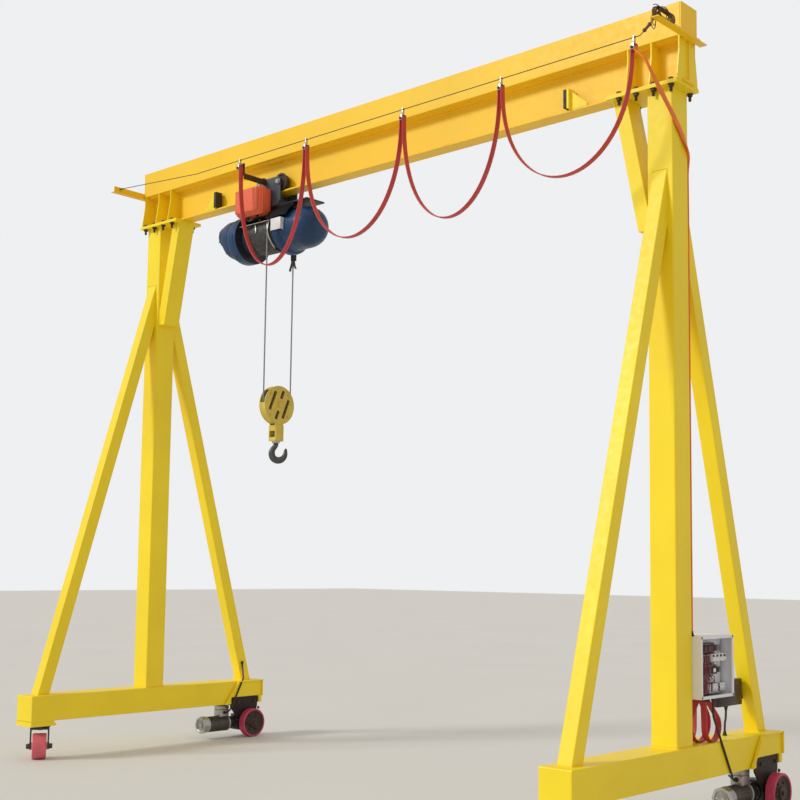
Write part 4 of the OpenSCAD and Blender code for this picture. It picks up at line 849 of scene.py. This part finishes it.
# black sheet from the frame's edge down over the near top of the motor, with its rib, and straps. The sheet is
# partly a real black cover and partly painted shade: it hangs over the motor's top where the frame's shade falls,
# in a blacker, more matte finish than the paint
hood = Shape()
sheet = []
for k in range(19):
    f = k / 18
    a = radians(14 + 52 * f)
    sheet.append((sin(a), cos(a)))
ring = lambda x, r0, r1: ([Vector((x, -r0 * sa, HOIST_Z + r0 * ca)) for sa, ca in sheet]
                          + [Vector((x, -r1 * sa, HOIST_Z + r1 * ca)) for sa, ca in reversed(sheet)])
hood.rings([ring(-0.9895, 0.1965, 0.1985), ring(-0.9875, 0.1955, 0.2000), ring(-0.7425, 0.1955, 0.2000),
            ring(-0.7405, 0.1965, 0.1985)])
hood.box((-0.985, -0.0980, 4.352), (-0.745, -0.0920, 4.392), 0.001)
hood.piece("motor_hood", "hood_black_shade", "trolley", angle=40)
straps = Shape()
for e, drop_z in ((-1, 3.912), (1, 3.926)):
    line = smooth_route([(FALL_X + e * x, y, z) for x, y, z in (
        (0.0105, FALL_Y, 3.999), (0.0115, FALL_Y, 3.982), (0.0190, 0.1400, 3.955), (0.0290, 0.1395, 3.932),
        (0.0340, 0.1390, drop_z))])
    straps.flat(line, [Y] * len(line), 0.022, 0.005)
straps.piece("anchor_straps", "black_paint", "trolley", angle=40)

# ---------------------------------------------------------------- hook block: nuts, collar; cast hook
block = Shape()
for s in (-1, 1):
    block.hexagon((FALL_X + s * 0.042, 0, BLOCK_Z), X * s, 0.034, 0.012)
    for a, b in circle(4, 0.125, 0.5):
        block.bolt((FALL_X + s * 0.034, a, BLOCK_Z + b), X * s, 0.008)
block.piece("block_nuts", "block_yellow", "hook_block")
# dark rims of thin sheet round each slot of the two cheeks, painted shade: they widen the slots' dark openings to
# stand for the shade inside them
slot_shade = Shape()
SLOTS = [(-0.072, 0.032, 0.150), (0.028, 0.085, 0.056), (-0.024, -0.080, 0.060), (0.064, -0.028, 0.150)]
slot_turn = Matrix.Rotation(radians(-22), 3, "X")


def slot_outline(s, y, z, x, half, end, r):
    """Rounded outline, half wide and end high, round a slot of the cheek on side s."""
    centre, loop = Vector((FALL_X, y, BLOCK_Z + z)), []
    for e, g, start in ((1, 1, 0), (-1, 1, 90), (-1, -1, 180), (1, -1, 270)):
        for a in (radians(start + 30 * k) for k in range(4)):
            loop.append(centre + slot_turn @ Vector((s * x, e * (half - r) + r * cos(a),
                                                     g * (end - r) + r * sin(a))))
    return loop[::s]


for s in (-1, 1):
    for y, z, length in SLOTS:
        inner, outer = (0.0064, length / 2 - 0.0001, 0.0004), (0.0125, length / 2 + 0.006, 0.004)
        slot_shade.rings([slot_outline(s, y, z, x, *size) for x, size in (
            (0.0337, inner), (0.0337, outer), (0.0352, outer), (0.0352, inner), (0.0337, inner))], caps=False)
slot_shade.piece("slot_shade_edges", "bolt_brown", "hook_block", angle=40)
collar = Shape().ring_tube((FALL_X, 0, 2.5155), (FALL_X, 0, 2.500), 0.0215, 0.031, 32)
collar.piece("neck_collar", "bare_steel", "hook_block")

theta = radians(48)
across = Vector((cos(theta), sin(theta), 0))
bar = [(0, 90, 15), (0, 74, 17), (-1, 62, 19), (-8, 50, 20), (-18, 38, 21), (-27, 22, 23), (-31, 4, 25),
       (-29, -16, 26), (-20, -36, 27), (-4, -50, 27), (16, -56, 27), (38, -53, 26), (56, -42, 24), (69, -25, 21),
       (75, -6, 18), (77, 10, 15), (78, 24, 12), (79, 36, 7)]
dense = smooth_route([(u / 1000, w / 1000, r / 1000) for u, w, r in bar], 4)
rings = []
for i, q in enumerate(dense):
    a, b = dense[max(i - 1, 0)], dense[min(i + 1, len(dense) - 1)]
    run = across * (b.x - a.x) + Z * (b.y - a.y)
    run.normalize()
    flat_side = run.cross(across.cross(Z)).normalized()
    thick_side = across.cross(Z).normalized()
    centre = Vector((FALL_X, 0, 2.420)) + across * q.x + Z * q.y
    rings.append([centre + (flat_side * cos(2 * pi * k / 32) * q.z
                            + thick_side * sin(2 * pi * k / 32) * q.z * 0.92) for k in range(32)])
tip = Vector((FALL_X, 0, 2.420)) + across * 0.0790 + Z * 0.0400
rings.append([tip + (p - tip) * 0.25 for p in rings[-1]])
cast = Shape().rings(rings)
cast.cyl((FALL_X, 0, 2.484), (FALL_X, 0, 2.556), 0.020, 40)
cast.cyl((FALL_X, 0, 2.5453), (FALL_X, 0, 2.5753), 0.027, 6, 0.002)
cast.piece("lifting_hook", "cast_hook", "hook", ["hook"], angle=40)

Shape().lathe(mm((18.1, -18), (40, -18), (42, -12), (118, -12), (124, -18), (141.5, -18), (142.3, -16.5),
                 (142.3, -12), (136.5, -7.5), (134.5, -4.5), (134, 0), (134.5, 4.5), (136.5, 7.5), (142.3, 12),
                 (142.3, 16.5), (141.5, 18), (124, 18), (118, 12), (42, 12), (40, 18), (18.1, 18)),
              (FALL_X, 0, BLOCK_Z), X, 72).piece("grooved_sheave", "dark_steel", "sheave",
                                                 ["block_sheave"], angle=28)

# ---------------------------------------------------------------- drive units
WHEEL_IN, MOTOR_X = 0.131, 0.020
HUB = mm((0, -94), (19.5, -94), (20, -93), (20, 0), (44, 0), (44, 8), (66, 12), (90, 12), (100, 8), (109, 6),
         (109, 60),
         (100, 58), (92, 53), (70, 50), (50, 52), (44, 58), (44, 64), (40, 66), (20, 66), (18, 64), (0, 64))
for s, n in ((-1, "left"), (1, "right")):
    wheel = f"drive_wheel_{n}"
    at = lambda x, y=0.0, z=0.0: Vector((s * CX + x, DRIVE_Y + y, DRIVE_Z + z))
    Shape().lathe(HUB, at(WHEEL_IN), X, 64).piece(f"{wheel}_hub", "hub_brown", wheel, [f"drive_hub_{n}"], angle=28)
    tyre = mm((109, 2), (119, 0.5), (122.5, 1), (124.5, 3.5), (125, 7), (125, 59), (124.5, 62.5), (122.5, 65),
              (119, 65.5), (109, 64), (109, 2))
    t = Shape().lathe(tyre, at(WHEEL_IN), X, 96)
    t.f = t.f[:-2]
    t.piece(f"{wheel}_tyre", "tyre_red", wheel, [f"drive_tyre_{n}"])
    hb = Shape()
    for a, b in circle(6, 0.068):
        hb.bolt(at(WHEEL_IN + 0.0505, a, b), X, 0.009)
    hb.bolt(at(WHEEL_IN + 0.0638), X, 0.014)
    hb.piece(f"{wheel}_bolts", "bolt_brown", wheel)

    # gearbox: ribbed case, bearing ring and bolts
    g = Shape()
    g.box(at(-0.055, -0.070, -0.070), at(0.095, 0.062, 0.068), 0.008, 3)
    for y in (-0.045, -0.015, 0.015, 0.040):
        g.box(at(-0.058, y - 0.003, -0.066), at(MOTOR_X, y + 0.003, 0.064), 0.001, 1)
    g.cyl(at(MOTOR_X, -0.176), at(MOTOR_X, -0.070), 0.054, 40, 0.002)
    g.cyl(at(MOTOR_X, -0.100), at(MOTOR_X, -0.066), 0.062, 40, 0.002)
    g.ring_tube(at(0.094), at(0.121), 0.0201, 0.0277, 40)
    g.ring_tube(at(0.094), at(0.0948), 0.0201, 0.060, 40)
    g.piece(f"gearbox_{n}", "dark_steel", "gantry", ["drive_gearboxes"], angle=30)
    gb = Shape()
    for (a, b), (c, d) in zip(circle(6, 0.048, 0.5), circle(6, 0.056, 0.5)):
        gb.bolt(at(0.107, a, b), X, 0.007)
        gb.bolt(at(MOTOR_X + c, -0.100, d), -Y, 0.004)
    for y in (-0.150, -0.075, 0.0, 0.075, 0.150):
        gb.bolt(at(-0.03, y * 0.9 - 0.035, 0.159), -Z, 0.008)
    gb.piece(f"gearbox_{n}_bolts", "bare_steel", "gantry")

    # motor: finned body, bright end rings, fan cover with slots, terminal box
    mb = Shape()
    back, free = -0.176, -0.476
    mb.cyl(at(MOTOR_X, free + 0.060), at(MOTOR_X, back - 0.014), 0.058, 48)
    for k in range(28):
        turn_k = Matrix.Rotation(2 * pi * k / 28, 3, "Y")
        mb.box(at(MOTOR_X - 0.0014, free + 0.064, 0.056), at(MOTOR_X + 0.0014, back - 0.022, 0.068), 0.0006, 1,
               turn=turn_k, about=at(MOTOR_X))
    mb.piece(f"motor_body_{n}", "motor_grey", "gantry", ["drive_motors"], angle=30)
    ring = Shape()
    ring.lathe(mm((0, 0), (66, 0), (70, 3), (70, 11), (66, 14), (0, 14)),
               at(MOTOR_X, back - 0.014), Y, 48)
    ring.lathe(mm((54, 0), (68, 0), (69, 2), (69, 8), (68, 10), (54, 10), (54, 0)),
               at(MOTOR_X, free + 0.062), Y, 48)
    ring.lathe(mm((54, 10), (54, 2), (58, 0), (70, 0), (74, 4), (74, 56), (72.5, 62), (70, 64), (60, 64),
                  (59.5, 63)), at(MOTOR_X, free), Y, 8)
    for rr in (0.016, 0.027, 0.038, 0.049):
        ring.ring_tube(at(MOTOR_X, free + 0.005), at(MOTOR_X, free + 0.008), rr, rr + 0.0035, 40)
    for a, b in circle(8, 1):
        hub_at, d = at(MOTOR_X, free + 0.0065), Vector((a, 0, b))
        ring.cyl(hub_at + d * 0.004, hub_at + d * 0.057, 0.0013, 6)
    ring.cyl(at(MOTOR_X, free + 0.004), at(MOTOR_X, free + 0.012), 0.013, 24, 0.001)
    ring.box(at(-0.022, -0.286, 0.060), at(0.062, -0.184, 0.122), 0.004, 3)
    ring.box(at(-0.022, -0.286, 0.123), at(0.062, -0.184, 0.157), 0.005, 3)
    for y in (-0.266, -0.245, -0.225, -0.204):
        ring.box(at(-0.020, y - 0.002, 0.150), at(0.060, y + 0.002, 0.1569), 0.0008, 1)
    ring.piece(f"motor_rings_{n}", "motor_alloy", "gantry", angle=28)
    bk = Shape()
    for y, z in ((0.075, 0.185), (-0.120, 0.185), (0.120, 0.120)):
        bk.bolt(at(0.107, y, z), X, 0.012)
    bk.piece(f"bracket_bolts_{n}", "bolt_brown", "gantry")

# ---------------------------------------------------------------- casters
for s, n in ((-1, "left"), (1, "right")):
    rot = Matrix.Rotation(radians(58), 3, "Z")
    base = Vector((s * CX, -1.030, 0))
    loc = lambda x, y, z: base + rot @ Vector((x, y, z))
    ax = rot @ X
    c0 = loc(0, -0.048, 0.100)
    outline = mirrored((12.1, -60), (28, -60), (30, -58), (30, -46), (40, -44), (66, -44), (71, -47),
                       (76, -53.5), (90, -54), (96, -52), (99.5, -48), (100, -43))
    Shape().lathe(outline, c0, ax, 80).piece(f"caster_tread_{n}", "caster_red", f"caster_wheel_{n}",
                                             [f"caster_wheel_{n}"], angle=30)
    cb = Shape()
    for e in (-1, 1):
        cb.bolt(c0 + ax * e * 0.0742, ax * e, 0.0235, 0.004)
    cb.ring_tube(loc(0, 0, 0.2255), loc(0, 0, 0.2370), 0.053, 0.058, 48)
    cb.piece(f"caster_fork_bolts_{n}", "dark_steel", f"caster_fork_{n}")
    pb = Shape()
    for dx in (-0.064, 0.064):
        for dy in (-0.044, 0.044):
            pb.bolt(loc(dx, dy, 0.250), -Z, 0.011, 0.003)
    pb.piece(f"caster_plate_bolts_{n}", "bolt_brown", "gantry")

# ---------------------------------------------------------------- control box
cb0, cb1, cy0, cy1, cz0, cz1 = 2.514, 2.714, 0.090, 0.485, 0.770, 1.142
lip = Shape()
y0, y1, z0, z1, rim = cy0 + 0.003, cy1 - 0.003, cz0 + 0.003, cz1 - 0.003, 0.015
for a, b in (((y0, z0), (y0 + rim, z1)), ((y1 - rim, z0), (y1, z1)),
             ((y0, z0), (y1, z0 + rim)), ((y0, z1 - rim), (y1, z1))):
    lip.box((cb1 - 0.012, *a), (cb1 - 0.0005, *b), 0.001)
for z in (cz0 + 0.07, cz1 - 0.07):
    lip.cyl((cb1 - 0.006, cy1 - 0.0035, z - 0.022), (cb1 - 0.006, cy1 - 0.0035, z + 0.022), 0.0033, 12)
b0 = cb1 - 0.086
lip.box((b0 - 0.003, cy0 + 0.014, cz0 + 0.016), (b0, cy1 - 0.014, cz1 - 0.016), 0.0008)
for y in (cy0 + 0.030, cy1 - 0.030):
    for z in (cz0 + 0.032, cz1 - 0.032):
        lip.cyl((cb0 + 0.002, y, z), (b0 - 0.002, y, z), 0.006, 12)
        lip.hexagon((b0, y, z), X, 0.012, 0.005)
lip.piece("control_box_rim", "box_grey", "gantry")
gear_row, white, darkrow, metal_row = Shape(), Shape(), Shape(), Shape()


def contactor(y, z, w, h, depth, target):
    """Switching block: base, raised middle, sockets with screws above and below."""
    target.box((b0 + 0.005, y, z), (b0 + depth * 0.62, y + w, z + h), 0.002)
    target.box((b0 + depth * 0.6, y + 0.003, z + h * 0.22), (b0 + depth, y + w - 0.003, z + h * 0.78), 0.003)
    for q in range(3):
        for f in (0.11, 0.89):
            at_y = y + w * (q + 0.5) / 3
            metal_row.cyl((b0 + depth * 0.6, at_y, z + h * f), (b0 + depth * 0.66, at_y, z + h * f), 0.0032, 10)


for z in (0.828, 0.930, 1.062):
    metal_row.box((b0, cy0 + 0.022, z - 0.0175), (b0 + 0.0075, cy1 - 0.022, z + 0.0175), 0.001)
for k in range(5):
    contactor(cy0 + 0.024 + 0.046 * k, 1.036, 0.043, 0.060, 0.066 if k < 3 else 0.056, gear_row)
for k in range(4):
    y = cy0 + 0.188 + 0.0445 * k
    white.box((b0 + 0.002, y, 0.984), (b0 + 0.050, y + 0.041, 1.031), 0.003)
    white.box((b0 + 0.049, y + 0.006, 0.990), (b0 + 0.057, y + 0.035, 1.007), 0.002)
    darkrow.box((b0 + 0.0495, y + 0.010, 1.012), (b0 + 0.053, y + 0.031, 1.025), 0.001)
for k in range(3):
    contactor(cy0 + 0.024 + 0.048 * k, 0.900, 0.045, 0.068, 0.064, gear_row if k != 1 else darkrow)
contactor(cy0 + 0.186, 0.902, 0.050, 0.062, 0.054, darkrow)
contactor(cy0 + 0.254, 0.906, 0.034, 0.056, 0.048, darkrow)
white.box((b0 + 0.054, cy0 + 0.196, 0.922), (b0 + 0.057, cy0 + 0.226, 0.944), 0.001)
for k in range(15):
    y = cy0 + 0.030 + k * 0.0225
    (darkrow if k % 4 == 3 else white).box((b0 + 0.005, y, 0.806), (b0 + 0.044, y + 0.0200, 0.850), 0.002)
    for z in (0.840, 0.816):
        metal_row.cyl((b0 + 0.044, y + 0.010, z), (b0 + 0.0455, y + 0.010, z), 0.0042, 10)
gear_row.piece("contactors_row", "contactor_dark", "gantry", ["contactors"])
white.piece("terminal_blocks", "terminal_white", "gantry")
darkrow.piece("relays", "contactor_black", "gantry")
metal_row.piece("mounting_rails", "bare_steel", "gantry")
wires = Shape()
for k in range(8):
    y = cy0 + 0.030 + k * 0.0235
    for low, high, out in ((0.852, 0.900, 0.034), (0.968, 0.984, 0.030), (1.030, 1.040, 0.034)):
        bulge = 0.028 + 0.012 * (k % 3)
        wires.tube(smooth_route([(b0 + out + bulge * f, y + dy, z) for f, dy, z in (
            (0, 0, low - 0.002), (0.6, 0.004, low + 0.006), (0.8, 0.012 * sin(k * 1.7), (low + high) / 2),
            (0.6, 0.010 * cos(k), high - 0.004), (0, 0.003, high + 0.003))]), 0.0024, 6)
for k in range(7):
    y = cy0 + 0.046 + 0.013 * k
    wires.tube(smooth_route([(b0 + x, y + dy, z) for x, dy, z in (
        (0.050, 0.030, 1.020), (0.070, 0.004 * (k % 2), 0.985), (0.072, -0.004, 0.900),
        (0.070, 0.008 * sin(k), 0.860), (0.058, 0.012, 0.815), (0.050, 0.018, 0.783))], 5), 0.0026, 6)
wires.piece("control_wires", "wire_maroon", "gantry")

# receiver
rec = Shape()
rec.box((2.514, 0.560, 0.680), (2.564, 0.872, 0.845), 0.007, 3)
rec.box((2.534, 0.870, 0.712), (2.540, 0.9335, 0.815), 0.001)
rec.cyl((2.539, 0.700, 0.681), (2.539, 0.700, 0.6797), 0.012, 16)
rec.piece("receiver_case", "receiver_black", "gantry", ["receiver_box"])
face = Shape()
face.box((2.563, 0.575, 0.694), (2.5655, 0.857, 0.831), 0.001)
for y in (0.584, 0.848):
    for z in (0.703, 0.822):
        face.lathe([(0.004, 0), (0.004, 0.0015), (0.0025, 0.0025), (0, 0.0028)], (2.5655, y, z), X, 12)
face.piece("receiver_cover", "receiver_black", "gantry")

# ---------------------------------------------------------------- floor, light
floor = Shape()
floor.v = [(-60, -60, 0), (60, -60, 0), (60, 60, 0), (-60, 60, 0)]
floor.f = [(0, 1, 2, 3)]
floor_piece = floor.piece("floor", "floor_pale", None)

sun_data = bpy.data.lights.new("key", "SUN")
sun_data.energy = 1.62
sun_data.color = (0.97, 1.0, 0.93)
sun_data.angle = radians(14)
sun = bpy.data.objects.new("key", sun_data)
sun.rotation_euler = Vector((-0.42, -0.74, 0.56)).to_track_quat("Z", "Y").to_euler()
bpy.context.scene.collection.objects.link(sun)

world = bpy.data.worlds.new("world")
bpy.context.scene.world = world
world.use_nodes = True
tree = world.node_tree
light = tree.nodes["Background"]
light.inputs["Color"].default_value = (1.0, 0.93, 0.87, 1)
light.inputs["Strength"].default_value = 0.62
seen = tree.nodes.new("ShaderNodeBackground")
seen.inputs["Color"].default_value = (0.86, 0.87, 0.88, 1)
seen.inputs["Strength"].default_value = 1.0
path = tree.nodes.new("ShaderNodeLightPath")
choose = tree.nodes.new("ShaderNodeMixShader")
tree.links.new(path.outputs["Is Camera Ray"], choose.inputs["Fac"])
tree.links.new(light.outputs["Background"], choose.inputs[1])
tree.links.new(seen.outputs["Background"], choose.inputs[2])
tree.links.new(choose.outputs["Shader"], tree.nodes["World Output"].inputs["Surface"])
